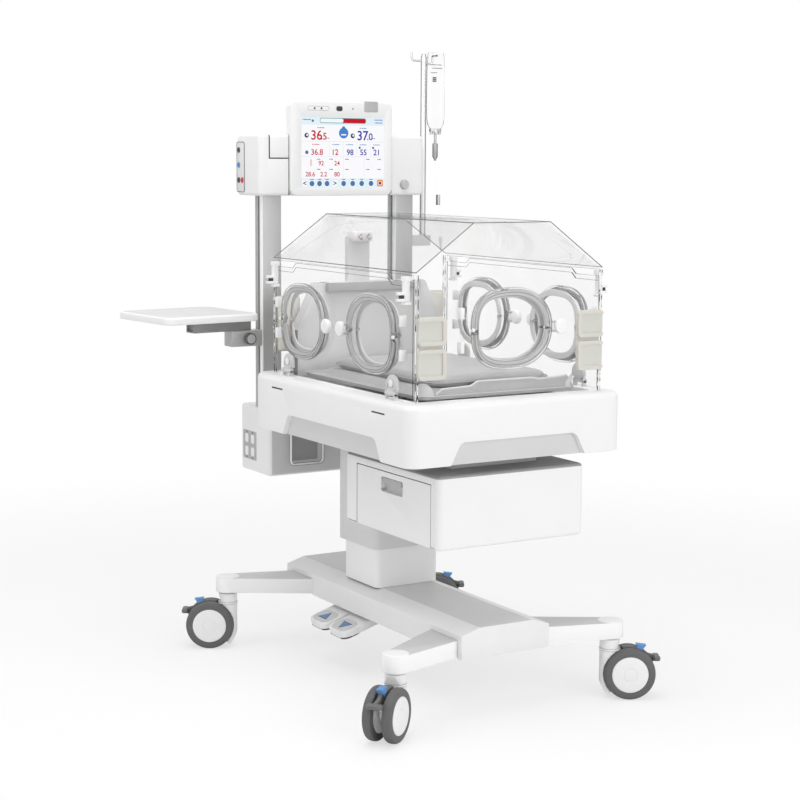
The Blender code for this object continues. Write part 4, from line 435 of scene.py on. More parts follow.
glow = {
    "white": glowing("screen_white", (0.93, 0.93, 0.95)),
    "pale": glowing("screen_pale_blue", (0.74, 0.86, 0.92)),
    "mint": glowing("screen_mint", (0.82, 0.93, 0.92)),
    "line": glowing("screen_line", (0.62, 0.70, 0.84)),
    "red": glowing("screen_red", (0.56, 0.005, 0.010)),
    "rose": glowing("screen_rose", (0.56, 0.035, 0.075)),
    "blue": glowing("screen_blue", (0.035, 0.018, 0.38)),
    "sky": glowing("screen_sky", (0.06, 0.22, 0.56)),
    "steel": glowing("screen_steel", (0.09, 0.17, 0.27)),
    "orange": glowing("screen_orange", (0.80, 0.26, 0.03)),
    "dark": glowing("screen_dark", (0.02, 0.025, 0.05)),
}
print("screen colours", len(glow))

# %% [markdown]
# Most pieces are prisms, turned shapes and lofts that are cut and joined. These small helpers make them as
# closed meshes. They take the hood's coordinates, and the finished piece is moved by SHIFT.

# %% Shapes
AXES = {"x": (1, 2, 0), "y": (0, 2, 1), "z": (0, 1, 2)}


def loft(rings, closed=False):
    """Skin closed rings of equal length. Both ends are capped, unless the last ring joins the first."""
    shape = bmesh.new()
    made = [[shape.verts.new(point) for point in ring] for ring in rings]
    pairs = list(zip(made, made[1:]))
    if closed:
        pairs.append((made[-1], made[0]))
    else:
        shape.faces.new(made[0])
        shape.faces.new(made[-1])
    for lower, upper in pairs:
        for index in range(len(lower)):
            after = (index + 1) % len(lower)
            shape.faces.new((lower[index], lower[after], upper[after], upper[index]))
    bmesh.ops.recalc_face_normals(shape, faces=shape.faces)
    return shape


def prism(outline, start, end, axis="z"):
    first, second, along = AXES[axis]
    rings = []
    for level in (start, end):
        ring = []
        for u, v in outline:
            point = [0.0, 0.0, 0.0]
            point[first], point[second], point[along] = u, v, level
            ring.append(point)
        rings.append(ring)
    return loft(rings)


def arc(centre, radius, start, end, steps):
    points = []
    for index in range(steps + 1):
        angle = math.radians(start + (end - start) * index / steps)
        points.append((centre[0] + radius * math.cos(angle), centre[1] + radius * math.sin(angle)))
    return points


def rounded(x, y, radius, steps=8):
    outline = []
    for corner_x, corner_y, start in ((x[1], y[1], 0), (x[0], y[1], 90), (x[0], y[0], 180),
                                      (x[1], y[0], 270)):
        centre = (corner_x - math.copysign(radius, corner_x - sum(x) / 2),
                  corner_y - math.copysign(radius, corner_y - sum(y) / 2))
        outline += arc(centre, radius, start, start + 90, steps)
    return outline


def inset_by(x, y, inset, corner, steps=8):
    """A rounded rectangle whose sides are drawn in by an inset."""
    return rounded((x[0] + inset, x[1] - inset), (y[0] + inset, y[1] - inset), corner, steps)


def raised(outline, height):
    return [(x, y, height) for x, y in outline]


def both(half):
    return (-half, half)


def on_side(side, first, second):
    """Two distances taken to one side of the middle, the lower coordinate first."""
    return sorted((side * first, side * second))


def box(x, y, z):
    return prism(((x[0], y[0]), (x[1], y[0]), (x[1], y[1]), (x[0], y[1])), z[0], z[1])


def rod(centre, radius, start, end, axis="z", steps=32):
    return prism(arc(centre, radius, 0, 360 - 360 / steps, steps - 1), start, end, axis)


def turned(profile, steps=64):
    """A solid of revolution about Z, from (radius, height) points that run from one flat end to the other."""
    last = 360 - 360 / steps
    return loft([raised(arc((0, 0), radius, 0, last, steps - 1), height) for radius, height in profile])


def tube(path, radius, sides=16):
    """A round bar along points, with flat ends."""
    path = [Vector(point) for point in path]
    rings = []
    side = None
    for index, point in enumerate(path):
        ahead = (path[min(index + 1, len(path) - 1)] - path[max(index - 1, 0)]).normalized()
        if side is None:
            side = ahead.orthogonal().normalized()
        side = (side - ahead * side.dot(ahead)).normalized()
        other = ahead.cross(side)
        ring = []
        for step in range(sides):
            angle = 2 * math.pi * step / sides
            ring.append(point + side * (radius * math.cos(angle)) + other * (radius * math.sin(angle)))
        rings.append(ring)
    return loft(rings)


def hoop(path, radius, sides=8):
    """A round bar whose path comes back to its start."""
    return tube(path + path[:1], radius, sides)


def bent(points, corner, steps=8):
    """A path through corner points with each corner rounded."""
    path = [Vector(points[0])]
    for before, here, after in zip(points, points[1:], points[2:]):
        here = Vector(here)
        start = here + (Vector(before) - here).normalized() * corner
        end = here + (Vector(after) - here).normalized() * corner
        for index in range(steps + 1):
            part = index / steps
            path.append(start * (1 - part) ** 2 + here * 2 * part * (1 - part) + end * part ** 2)
    path.append(Vector(points[-1]))
    return path


def moved(shape, matrix):
    bmesh.ops.transform(shape, matrix=matrix, verts=shape.verts)
    return shape


def combine(first, second, operation):
    objects = []
    for shape in (first, second):
        objects.append(put("working", mesh_of(shape, "working")))
    modifier = objects[0].modifiers.new("combine", "BOOLEAN")
    modifier.operation = operation
    modifier.object = objects[1]
    result = bmesh.new()
    result.from_object(objects[0], bpy.context.evaluated_depsgraph_get())
    for obj in objects:
        mesh = obj.data
        bpy.data.objects.remove(obj)
        bpy.data.meshes.remove(mesh)
    bmesh.ops.remove_doubles(result, verts=result.verts, dist=1e-6)
    return result


def cut(shape, *tools):
    for tool in tools:
        shape = combine(shape, tool, "DIFFERENCE")
    return shape


def together(*shapes):
    """Several closed shapes in one mesh, without joining them."""
    result = bmesh.new()
    for shape in shapes:
        mesh = mesh_of(shape, "working")
        result.from_mesh(mesh)
        bpy.data.meshes.remove(mesh)
    return result


# %% [markdown]
# A finished piece is one mesh at the origin that rides on a body and stands for its CAD nodes. A small
# bevel on every sharp edge catches the light as moulded and machined edges do. Where one piece has two
# finishes, a test on each face's middle and direction picks the second one.


# %% Finished pieces
def flat_faces(shape):
    bmesh.ops.remove_doubles(shape, verts=shape.verts, dist=1e-6)
    bmesh.ops.dissolve_limit(shape, angle_limit=math.radians(0.5), verts=shape.verts, edges=shape.edges)
    return shape


def smoothed(obj, sharp):
    obj.data.shade_smooth()
    obj.data.set_sharp_from_angle(angle=math.radians(sharp))


def piece(name, shape, finish, body, nodes=(), bevel=0.0, segments=2, zones=(), sharp=32, shift=SHIFT):
    for index, (_, test) in enumerate(zones):
        for face in shape.faces:
            if test(face.calc_center_median(), face.normal):
                face.material_index = index + 1
    bmesh.ops.translate(shape, verts=shape.verts, vec=shift)
    mesh = mesh_of(shape, name)
    for paint in (finish, *[extra for extra, _ in zones]):
        mesh.materials.append(paint)
    obj = put(name, mesh)
    if bevel:
        modifier = obj.modifiers.new("soft_edges", "BEVEL")
        modifier.width = bevel
        modifier.segments = segments
        modifier.limit_method = "ANGLE"
        modifier.angle_limit = math.radians(sharp)
        obj.data = settled(obj)
        obj.modifiers.clear()
        obj.data.name = name
    smoothed(obj, sharp)
    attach(obj, body)
    if nodes:
        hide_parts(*nodes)
    return obj


def copy_of(node):
    """A CAD node's mesh, merged, as a shape in the frame's own coordinates."""
    shape = bmesh.new()
    shape.from_mesh(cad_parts[node].data)
    return flat_faces(shape)


def softened(node, finish, body, bevel=0.0012, segments=2, zones=()):
    """The CAD node's own shape with soft edges."""
    return piece(f"{node}_finished", copy_of(node), finish, body, (node,), bevel, segments, zones,
                 shift=Vector((0, 0, 0)))


# %% [markdown]
# The infusion line is the only free cord. It hangs from the drip chamber to its connector, so its route is
# nearly straight down. The points repeat the CAD's, because the piece has to lie where its solid is.

# %% Infusion line
LINE_RADIUS = 0.0016
LINE_POINTS = [Vector(point) + SHIFT for point in (
    (-0.466, 0.297, 1.2847), (-0.466, 0.2995, 1.250), (-0.466, 0.3045, 1.200),
    (-0.466, 0.3105, 1.150), (-0.466, 0.3160, 1.105), (-0.466, 0.3180, 1.0803))]


def smooth_path(knots, count):
    ends = [knots[0] * 2 - knots[1]] + knots + [knots[-1] * 2 - knots[-2]]
    path = []
    for index in range(count + 1):
        spot = index / count * (len(knots) - 1)
        part = min(int(spot), len(knots) - 2)
        t = spot - part
        a, b, c, d = ends[part:part + 4]
        path.append(0.5 * (b * 2 + (c - a) * t + (a * 2 - b * 5 + c * 4 - d) * t ** 2
                           + (b * 3 - a - c * 3 + d) * t ** 3))
    return path


line_curve = bpy.data.curves.new("infusion_tube", "CURVE")
line_curve.dimensions = "3D"
line_curve.bevel_depth = LINE_RADIUS
line_curve.bevel_resolution = 6
line_curve.use_fill_caps = True
line_spline = line_curve.splines.new("POLY")
line_path = smooth_path(LINE_POINTS, 40)
line_spline.points.add(len(line_path) - 1)
for point, spot in zip(line_spline.points, line_path):
    point.co = (*spot, 1.0)
line_curve.materials.append(clear_film)
infusion_tube = put("infusion_tube", line_curve)
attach(infusion_tube, "bag")
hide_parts("infusion_line")

line_end = line_path[-1] - SHIFT
luer = moved(turned(((0.0026, -0.0370), (0.0028, -0.0365), (0.0028, -0.0200), (0.0036, -0.0190),
                     (0.0042, -0.0180), (0.0042, -0.0010), (0.0036, -0.0003)), 32),
             Matrix.Translation(line_end))
connector = piece("luer_connector", luer, white_moulding, "bag", ("line_connector",))

# %% [markdown]
# The trolley's beam is a folded steel shell with a flat top and sloped white shoulders, and its top is
# painted grey as the shade under the cabinet. The leg castings and the round caps over the caster stems are
# painted a brighter white than the beam, as painted light, and the castings' top faces get the same grey.
# Their shapes are right in the CAD, so copies of them only get soft edges and their two paints.

# %% Trolley beam and legs
STEM_X = {"foot": 0.343, "head": -0.528}
STEM_Y = 0.3015
CAP_PROFILE = ((0.0300, 0.1888), (0.0305, 0.1898), (0.0290, 0.1912), (0.0240, 0.1921), (0.0120, 0.1926),
               (0.0010, 0.1927))


def top_above(level):
    return lambda centre, normal: normal.z > 0.98 and centre.z > level


# The beam's flat top and the legs' top faces are painted grey, and the legs and stem caps a brighter white,
# as painted shade and painted light.
softened("chassis_beam", powder_coat, "base", 0.0015, 3, ((grey_coat, top_above(0.21)),))
for end, stem_x in STEM_X.items():
    softened(f"leg_casting_{end}", bright_coat, "base", 0.003, 3, ((grey_coat, top_above(0.18)),))
    for side in (-1, 1):
        cap = moved(turned(CAP_PROFILE, 48), at(stem_x, side * STEM_Y, 0))
        piece(f"stem_cap_{end}_{'left' if side < 0 else 'right'}", cap, bright_coat, "base")
print("beam and legs dressed")

# %% [markdown]
# A twin-wheel caster has two soft grey tyres on white discs, with a ring groove and a hub cap on each side.
# The wheel is turned about its axle from one profile, with the tyre and disc told apart by their distance
# from the axle.

# %% Casters
WHEEL_RADIUS = 0.0625
TRAIL = 0.047
WHEEL_INNER = 0.013
WHEEL_OUTER = 0.0365
DISC_RADIUS = 0.0440
CASTERS = {
    "foot_left": (STEM_X["foot"], -STEM_Y, -55.0),
    "foot_right": (STEM_X["foot"], STEM_Y, 60.0),
    "head_left": (STEM_X["head"], -STEM_Y, -120.0),
    "head_right": (STEM_X["head"], STEM_Y, 60.0),
}


def half_wheel(side):
    """One tyre and its disc, along Z from the inner face to the outer one."""
    profile = [(0.0055, WHEEL_INNER), (DISC_RADIUS, WHEEL_INNER), (0.0570, WHEEL_INNER),
               (0.0605, WHEEL_INNER + 0.0012), (0.0620, WHEEL_INNER + 0.0035),
               (WHEEL_RADIUS, WHEEL_INNER + 0.0075), (WHEEL_RADIUS, WHEEL_INNER + 0.0125),
               (0.0618, WHEEL_OUTER - 0.0065), (0.0600, WHEEL_OUTER - 0.0035),
               (0.0570, WHEEL_OUTER - 0.0018), (0.0520, WHEEL_OUTER - 0.0010),
               (0.0460, WHEEL_OUTER - 0.0012), (DISC_RADIUS + 0.0003, WHEEL_OUTER - 0.0022),
               (DISC_RADIUS, WHEEL_OUTER - 0.0024), (DISC_RADIUS - 0.0010, WHEEL_OUTER - 0.0010),
               (0.0400, WHEEL_OUTER - 0.0004), (0.0300, WHEEL_OUTER), (0.0180, WHEEL_OUTER),
               (0.0168, WHEEL_OUTER - 0.0012), (0.0160, WHEEL_OUTER - 0.0012), (0.0150, WHEEL_OUTER),
               (0.0060, WHEEL_OUTER + 0.0003), (0.0010, WHEEL_OUTER + 0.0004)]
    shape = turned(profile, 96)
    if side < 0:
        shape = moved(shape, spin(180, "X"))
    return shape


def dress_caster(place, x, y, angle):
    frame_here = at(x, y, 0) @ spin(angle, "Z")
    back = (Matrix.Translation(SHIFT) @ frame_here).inverted()
    axle = frame_here @ at(TRAIL, 0, WHEEL_RADIUS) @ spin(90, "X")
    wheels = moved(together(half_wheel(1), half_wheel(-1), rod((0, 0), 0.0048, -WHEEL_INNER, WHEEL_INNER)),
                   axle)
    middle = axle.translation
    out = (axle.to_3x3() @ Vector((0, 0, 1))).normalized()

    def on_disc(centre, normal):
        arm = centre - middle
        return (arm - out * arm.dot(out)).length < DISC_RADIUS - 0.0004

    piece(f"twin_wheels_{place}", wheels, tyre_rubber, f"wheels_{place}", (f"caster_wheels_{place}",),
          zones=((white_moulding, on_disc),), sharp=28)
    softened(f"caster_fork_{place}", white_moulding, f"fork_{place}", 0.0010)

    def on_tab(centre, normal):
        local = back @ centre
        return local.z > WHEEL_RADIUS + 0.052 and local.x > TRAIL + 0.012 and abs(local.y) < 0.0085

    softened(f"caster_brake_{place}", brake_moulding, f"brake_{place}", 0.0008,
             zones=((blue_moulding, on_tab),))
    collar = turned(((0.0246, 0.1180), (0.0256, 0.1183), (0.0256, 0.1222), (0.0246, 0.1225)), 48)
    piece(f"stem_collar_{place}", moved(collar, frame_here), white_moulding, f"fork_{place}")
    grooves = []
    for height in (0.1176, 0.1229):
        grooves.append(moved(turned(((0.0244, height - 0.0006), (0.0252, height - 0.0004),
                                     (0.0252, height + 0.0004), (0.0244, height + 0.0006)), 48),
                             frame_here))
    piece(f"stem_grooves_{place}", together(*grooves), mid_grey_moulding, f"fork_{place}")


for place, stance in CASTERS.items():
    dress_caster(place, *stance)
print("casters", len(CASTERS))

# %% [markdown]
# The two foot pedals raise and lower the bed. Each is a white pad with a grey tongue let into it and a blue
# arrowhead on the tongue, in a dark frame. The pad keeps the CAD's shape, and the rest are thin plates on
# its slope.

# %% Foot pedals
PEDALS = {"up": (-0.2475, 1), "down": (-0.1480, -1)}
PEDAL_PIVOT = (-0.085, 0.138)
PEDAL_SLOPE = 17.0
ARROW_Y = -0.074
ARROW_BACK = 0.010
ARROW_AHEAD = 0.016
ARROW_HALF = 0.0185


def pedal_slope(centre_x):
    return at(centre_x, *PEDAL_PIVOT) @ spin(PEDAL_SLOPE, "X")


for way, (centre_x, sense) in PEDALS.items():
    softened(f"foot_pedal_{way}", white_moulding, f"pedal_{way}", 0.0030, 3)
    tongue = prism(rounded((-0.0375, 0.0375), (-0.1000, -0.048), 0.021), 0.0070, 0.0100)
    piece(f"pedal_tongue_{way}", moved(tongue, pedal_slope(centre_x)), light_grey_moulding, f"pedal_{way}")
    base, tip = ARROW_Y - sense * ARROW_BACK, ARROW_Y + sense * ARROW_AHEAD
    for layer, grow, finish in ((0, 0.0016, ink_blue), (1, 0.0, arrow_blue)):
        half = ARROW_HALF + 1.6 * grow
        arrow = prism(((-half, base - sense * grow), (half, base - sense * grow),
                       (0.0, tip + sense * 2 * grow)), 0.0090, 0.0104 + layer * 0.0004)
        piece(f"pedal_arrow_{way}_{'edge' if layer == 0 else 'face'}", moved(arrow, pedal_slope(centre_x)),
              finish, f"pedal_{way}")
    rim = prism(rounded((-0.0445, 0.0445), (-0.1048, -0.046), 0.021), -0.0105, -0.0060)
    piece(f"pedal_frame_{way}", moved(rim, pedal_slope(centre_x)), dark_moulding, f"pedal_{way}", bevel=0.001)
print("pedals", list(PEDALS))

# %% [markdown]
# The lift column is a painted tube that slides in a sleeve. The plate on the sleeve carries everything above,
# and stays in the tray's shade. The sleeve takes the brighter white as painted light, and the tube a light
# grey that is partly its own colour and partly painted shade from the tray. Copies of the CAD shapes with
# soft edges are enough for both.

# %% Lift column
# The sleeve's brighter white is painted light, and the tube's grey is partly painted shade.
softened("column_lower", bright_coat, "base", 0.0015)
softened("column_upper", column_coat, "lift", 0.0015)
print("column dressed")

# %% [markdown]
# The base tray is the largest moulding: a deep rim with round corners and a soft top edge, and a shallow
# scoop in the lower part of each side. It is lofted with many steps, so that its corners stay smooth, then
# the scoops, the slots and the openings are cut.

# %% Base tray
TRAY_HALF = (0.384, 0.2955)
TRAY_Z = (0.612, 0.7526)
TRAY_CORNER = 0.035
TRAY_EDGE = 0.015
TRAY_SKIRT = 0.026
TRAY_FLOOR = (0.695, 0.701)
SCOOP_DEPTH = 0.013
SLOT_X = 0.249
SLOT_Z = (0.7215, 0.7250)
HOOD_HALF = (0.344, 0.256)


def tray_ring(inset, height, steps=12):
    return raised(inset_by(both(TRAY_HALF[0]), both(TRAY_HALF[1]), inset, TRAY_CORNER - inset, steps), height)


def scoop_outline(start, end):
    low, top, lean, corner = TRAY_Z[0] - 0.01, TRAY_Z[0] + 0.052, 0.020, 0.022
    left = arc((start + lean + corner, top - corner), corner, 158, 90, 8)
    right = arc((end - lean - corner, top - corner), corner, 90, 22, 8)
    return [(start - 0.003, low)] + left + right + [(end + 0.003, low)]


def make_tray():
    rings = [tray_ring(0.0030, TRAY_Z[0]), tray_ring(0.0008, TRAY_Z[0] + 0.0012),
             tray_ring(0.0, TRAY_Z[0] + 0.004)]
    for step in range(9):
        turn = math.radians(90 * step / 8)
        rings.append(tray_ring(TRAY_EDGE * (1 - math.cos(turn)),
                               TRAY_Z[1] - TRAY_EDGE * (1 - math.sin(turn))))
    shape = loft(rings)
    under = inset_by(both(TRAY_HALF[0]), both(TRAY_HALF[1]), TRAY_SKIRT, 0.012)
    well = inset_by(both(HOOD_HALF[0]), both(HOOD_HALF[1]), 0.016, 0.010)
    shape = cut(shape, prism(under, TRAY_Z[0] - 0.01, TRAY_FLOOR[0]),
                prism(well, TRAY_FLOOR[1], TRAY_Z[1] + 0.01))
    for side in (-1, 1):
        for axis, half, span in (("y", TRAY_HALF[1], (-0.222, 0.262)), ("x", TRAY_HALF[0], (-0.187, 0.187))):
            depth = on_side(side, half + 0.01, half - SCOOP_DEPTH)
            shape = cut(shape, prism(scoop_outline(*span), *depth, axis))
        for x in both(SLOT_X):
            depth = on_side(side, TRAY_HALF[1] + 0.01, TRAY_HALF[1] - 0.004)
            shape = cut(shape, box((x - 0.029, x + 0.029), depth, SLOT_Z))
    notch = box((-TRAY_HALF[0] - 0.01, -TRAY_HALF[0] + TRAY_SKIRT + 0.01), (-0.154, 0.154),
                (TRAY_Z[0] - 0.01, 0.6625))
    return cut(shape, notch)


def slot_faces(centre, normal):
    in_height = abs(centre.z - sum(SLOT_Z) / 2) < 0.003
    return in_height and 0.2750 < abs(centre.y) < 0.2950 and abs(abs(centre.x) - SLOT_X) < 0.031


def scoop_faces(centre, normal):
    sunk_x = abs(normal.x) > 0.9 and abs(abs(centre.x) - TRAY_HALF[0] + SCOOP_DEPTH) < 0.0005
    sunk_y = abs(normal.y) > 0.9 and abs(abs(centre.y) - TRAY_HALF[1] + SCOOP_DEPTH) < 0.0005
    return (sunk_x or sunk_y) and centre.z < TRAY_Z[0] + 0.056


# The slot walls are painted black and the scoops' sunk faces light grey, as painted shade in those recesses.
tray = piece("tray_moulding", make_tray(), white_moulding, "lift", ("base_tray",), 0.0018, 3,
             ((gap_black, slot_faces), (recess_moulding, scoop_faces)), sharp=24)
print("tray faces", len(tray.data.polygons))

# %% [markdown]
# The access panels turn on two short barrels that stand on the tray at each side. The barrels and their
# pins were part of the CAD's tray, so they are drawn again here.

# %% Panel hinge stands
PIVOT_X = 0.253
PIVOT_Y = 0.2635
PIVOT_Z = 0.7665
for side in (-1, 1):
    for x in both(PIVOT_X):
        parts = [rod((side * PIVOT_Y, PIVOT_Z), 0.0025, x - 0.019, x + 0.019, "x", 20)]
        for start in (x - 0.0210, x + 0.0150):
            parts.append(rod((side * PIVOT_Y, PIVOT_Z), 0.0060, start, start + 0.006, "x", 32))
            foot_y = on_side(side, PIVOT_Y + 0.0045, PIVOT_Y - 0.0055)
            parts.append(box((start, start + 0.006), foot_y, (TRAY_Z[1] - 0.004, PIVOT_Z)))
        name = f"panel_hinge_{'left' if x < 0 else 'right'}_{'front' if side < 0 else 'rear'}"
        piece(name, together(*parts), light_grey_moulding, "lift", bevel=0.0006)
        print("dressed", name)

# %% [markdown]
# Inside the hood lie a grey pan, the head-end duct that the warm air comes from, and the tilting tray under
# the mattress. They are moulded parts that are seen through clear walls, so soft edges and two greys do. The
# pan is painted near black and the duct's ledge dark grey, as painted shade inside the hood.

# %% Inside the hood
DUCT_FOOT = 0.790
DUCT_LEDGE = (0.9565, 0.9785)
SENSOR_LOW = 1.0795
PROBE_AT = (-0.264, 1.0935)
BED_EDGE_X = (-0.262, 0.306)
BED_EDGE_Y = 0.216
BED_FLANGE_Z = 0.760
EAR_PULL = 0.92
EAR_STEPS = 16
EAR_HEIGHT = 0.026
BED_LIP = ((-0.176, 0.010), (-0.160, 0.022), (-0.082, 0.025), (-0.062, 0.035), (0.085, 0.035), (0.110, 0.031),
           (0.188, 0.035), (0.206, 0.010))


def duct_wall(centre, normal):
    return centre.z > DUCT_FOOT and centre.x < -0.10


def duct_ledge(centre, normal):
    return DUCT_LEDGE[0] < centre.z < DUCT_LEDGE[1] and centre.x < -0.10


def sensor_head(centre, normal):
    return centre.z > SENSOR_LOW and centre.x < -0.10


# The pan's near black and the ledge's dark grey are painted shade.
softened("inner_deck", deck_moulding, "lift", 0.0025, 3,
         ((duct_moulding, duct_wall), (ledge_moulding, duct_ledge), (bracket_moulding, sensor_head)))
probes = []
for y in (-0.047, -0.024):
    ring = [(PROBE_AT[0] + u, y, PROBE_AT[1] + w) for u, w in arc((0, 0), 0.0062, 0, 360, 24)]
    probes.append(tube(ring, 0.0016, 10))
    probes.append(rod((y, PROBE_AT[1]), 0.0022, PROBE_AT[0] - 0.0120, PROBE_AT[0] - 0.0060, "x", 16))
piece("air_probes", together(*probes), connector_tint, "lift")
softened("mattress_tray", bed_moulding, "bed", 0.0020, 3)
flange = rounded(BED_EDGE_X, (-BED_EDGE_Y, BED_EDGE_Y), 0.025, 8)
beads = [hoop(raised(flange, BED_FLANGE_Z), 0.0012),
         tube([(BED_EDGE_X[1] - 0.0045, y, BED_FLANGE_Z - 0.008 + above) for y, above in BED_LIP], 0.0028,
              10)]
inner_x, inner_y = BED_EDGE_X[1] - 0.026, BED_EDGE_Y - 0.026
for side in (-1, 1):
    rings = []
    for step, (x, y) in enumerate(arc((inner_x, inner_y), 0.025, -20, 110, EAR_STEPS)):
        top = BED_FLANGE_Z + 0.004 + EAR_HEIGHT * math.sin(math.pi * step / EAR_STEPS) ** 0.6
        back = (inner_x + (x - inner_x) * EAR_PULL, inner_y + (y - inner_y) * EAR_PULL)
        rings.append([(x, side * y, BED_FLANGE_Z - 0.001), (x, side * y, top), (back[0], side * back[1], top),
                      (back[0], side * back[1], BED_FLANGE_Z - 0.001)])
    beads.append(loft(rings))
piece("mattress_tray_rims", together(*beads), knob_moulding, "bed", sharp=50)
print("deck and tray dressed")

# %% [markdown]
# The mattress is a foam slab in a wipe-clean cover. A slab with square sides looks like a block, so it is
# swollen by a short cloth simulation with air pressure, which crowns the top and draws in the sides between
# the corners. A welt is then laid round its middle, as the sewn seam.

# %% Mattress
BED_X = (-0.210, 0.280)
BED_Y = (-0.164, 0.164)
MATTRESS_Z = (0.7723, 0.7963)


def inflate(shape, name, finish, frames, pressure, cap, voxel, pinned=None):
    """Swell a closed shape with cloth and pressure, and cap how far each point moves."""
    bmesh.ops.translate(shape, verts=shape.verts, vec=SHIFT)
    obj = put(name, mesh_of(shape, name))
    remesh = obj.modifiers.new("even_faces", "REMESH")
    remesh.mode = "VOXEL"
    remesh.voxel_size = voxel
    obj.data = settled(obj)
    obj.modifiers.clear()
    rest = [vertex.co.copy() for vertex in obj.data.vertices]
    cloth = obj.modifiers.new("cover", "CLOTH")
    cover = cloth.settings
    cover.use_pressure = True
    cover.uniform_pressure_force = pressure
    cover.effector_weights.gravity = 0.0
    cover.quality = 5
    cover.tension_stiffness = 20.0
    cover.bending_stiffness = 0.6
    cloth.point_cache.frame_end = frames
    if pinned:
        group = obj.vertex_groups.new(name="held")
        group.add([index for index, spot in enumerate(rest) if pinned(spot - SHIFT)], 1.0, "REPLACE")
        cover.vertex_group_mass = "held"
    for step in range(1, frames + 1):
        scene.frame_set(step)
    swollen = settled(obj)
    obj.modifiers.clear()
    obj.data = swollen
    for vertex, start in zip(obj.data.vertices, rest):
        move = vertex.co - start
        if move.length > cap:
            vertex.co = start + move * (cap / move.length)
    scene.frame_set(1)
    obj.vertex_groups.clear()
    obj.data.name = name
    obj.data.materials.clear()
    obj.data.materials.append(finish)
    smooth = obj.modifiers.new("smooth", "SUBSURF")
    smooth.levels = 1
    smooth.render_levels = 1
    obj.data.shade_smooth()
    return obj


def slab(x, y, z, corner):
    high = z[1] - z[0]
    levels = ((0.006, 0.0), (0.0, 0.006), (0.0, high - 0.008), (0.008, high))
    return loft([raised(inset_by(x, y, pull, corner - pull), z[0] + height) for pull, height in levels])


mattress = inflate(slab((BED_X[0] + 0.003, BED_X[1] - 0.003), (BED_Y[0] + 0.003, BED_Y[1] - 0.003),
                        (MATTRESS_Z[0] + 0.0005, MATTRESS_Z[1] - 0.001), 0.030),
                   "mattress_cover", mattress_cover, 14, 3.0, 0.004, 0.006)
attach(mattress, "bed")
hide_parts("mattress")
welt_path = raised(inset_by(BED_X, BED_Y, 0.001, 0.029, 10), MATTRESS_Z[0] + 0.012)
piece("mattress_welt", hoop(welt_path, 0.0014), mattress_cover, "bed")
print("mattress points", len(mattress.data.vertices))

# %% [markdown]
# Rims, gaskets and sleeves run round the arm ports, all with the same egg-shaped path. Geometry Nodes sweep
# a rounded bar along that path, so one tree with named inputs for the bar's width, depth and corner makes
# all of them.


# %% A node tree that sweeps a rounded bar along a path
def geometry_tree(name, **sockets):
    """A node tree that takes named inputs and ends in a finish. It gives back a link from its last mesh."""
    tree = bpy.data.node_groups.new(name, "GeometryNodeTree")
    kinds = {"Geometry": "Geometry", **sockets, "Finish": "Material"}
    for socket, kind in kinds.items():
        tree.interface.new_socket(socket.replace("_", " "), in_out="INPUT", socket_type=f"NodeSocket{kind}")
    tree.interface.new_socket("Geometry", in_out="OUTPUT", socket_type="NodeSocketGeometry")
    given, result = add(tree, "NodeGroupInput"), add(tree, "NodeGroupOutput")
    realize = add(tree, "GeometryNodeRealizeInstances")
    paint = add(tree, "GeometryNodeSetMaterial")
    join_up(tree, (realize.outputs["Geometry"], paint.inputs["Geometry"]),
            (given.outputs["Finish"], paint.inputs["Material"]),
            (paint.outputs["Geometry"], result.inputs["Geometry"]))
    return tree, given.outputs, realize.inputs["Geometry"]


def sweep_tree():
    tree, given, made = geometry_tree("swept_rounded_bar", Width="Float", Depth="Float", Corner="Float")
    section = add(tree, "GeometryNodeCurvePrimitiveQuadrilateral")
    corner = add(tree, "GeometryNodeFilletCurve", mode="POLY")
    corner.inputs["Count"].default_value = 4
    sweep = add(tree, "GeometryNodeCurveToMesh")
    join_up(tree, (given["Width"], section.inputs["Width"]), (given["Depth"], section.inputs["Height"]),
            (section.outputs["Curve"], corner.inputs["Curve"]), (given["Corner"], corner.inputs["Radius"]),
            (given["Geometry"], sweep.inputs["Curve"]),
            (corner.outputs["Curve"], sweep.inputs["Profile Curve"]), (sweep.outputs["Mesh"], made))
    return tree


SWEEP = sweep_tree()


def baked(obj, name, tree, **values):
    """Give a node tree its inputs, bake its result to a plain mesh and drop the modifier."""
    modifier = obj.modifiers.new("nodes", "NODES")
    modifier.node_group = tree
    for item in tree.interface.items_tree:
        key = item.name.replace(" ", "_")
        if item.in_out == "INPUT" and key in values:
            modifier[item.identifier] = values[key]
    mesh = settled(obj)
    mesh.name = name
    old = obj.data
    made = put(name, mesh)
    bpy.data.objects.remove(obj)
    if isinstance(old, bpy.types.Curve):
        bpy.data.curves.remove(old)
    return made


def facing_out(obj):
    shape = bmesh.new()
    shape.from_mesh(obj.data)
    bmesh.ops.remove_doubles(shape, verts=shape.verts, dist=1e-6)
    bmesh.ops.recalc_face_normals(shape, faces=shape.faces)
    shape.to_mesh(obj.data)
    shape.free()
    smoothed(obj, 35)
    return obj


def swept_ring(name, path, width, depth, corner, finish, body, nodes=()):
    curve = bpy.data.curves.new(name, "CURVE")
    curve.dimensions = "3D"
    curve.twist_mode = "Z_UP"
    spline = curve.splines.new("POLY")
    spline.points.add(len(path) - 1)
    for point, spot in zip(spline.points, path):
        point.co = (*(Vector(spot) + SHIFT), 1.0)
    spline.use_cyclic_u = True
    ring = facing_out(baked(put(name, curve), name, SWEEP, Width=width, Depth=depth, Corner=corner,
                            Finish=finish))
    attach(ring, body)
    if nodes:
        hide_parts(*nodes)
    return ring


print("sweep tree inputs", [item.name for item in SWEEP.interface.items_tree])

# %% [markdown]
# An arm port is an egg-shaped door. A thick clear rim, a grey seal and a frosted lip run round a clear
# pane, a clear knuckle turns on a pin between two white barrels, and a white paddle on the other side lets
# it go. A grey sleeve lines the hole in the wall. Each port is drawn in its own frame, with u along the
# wall towards the paddle and w up, then placed in its wall.

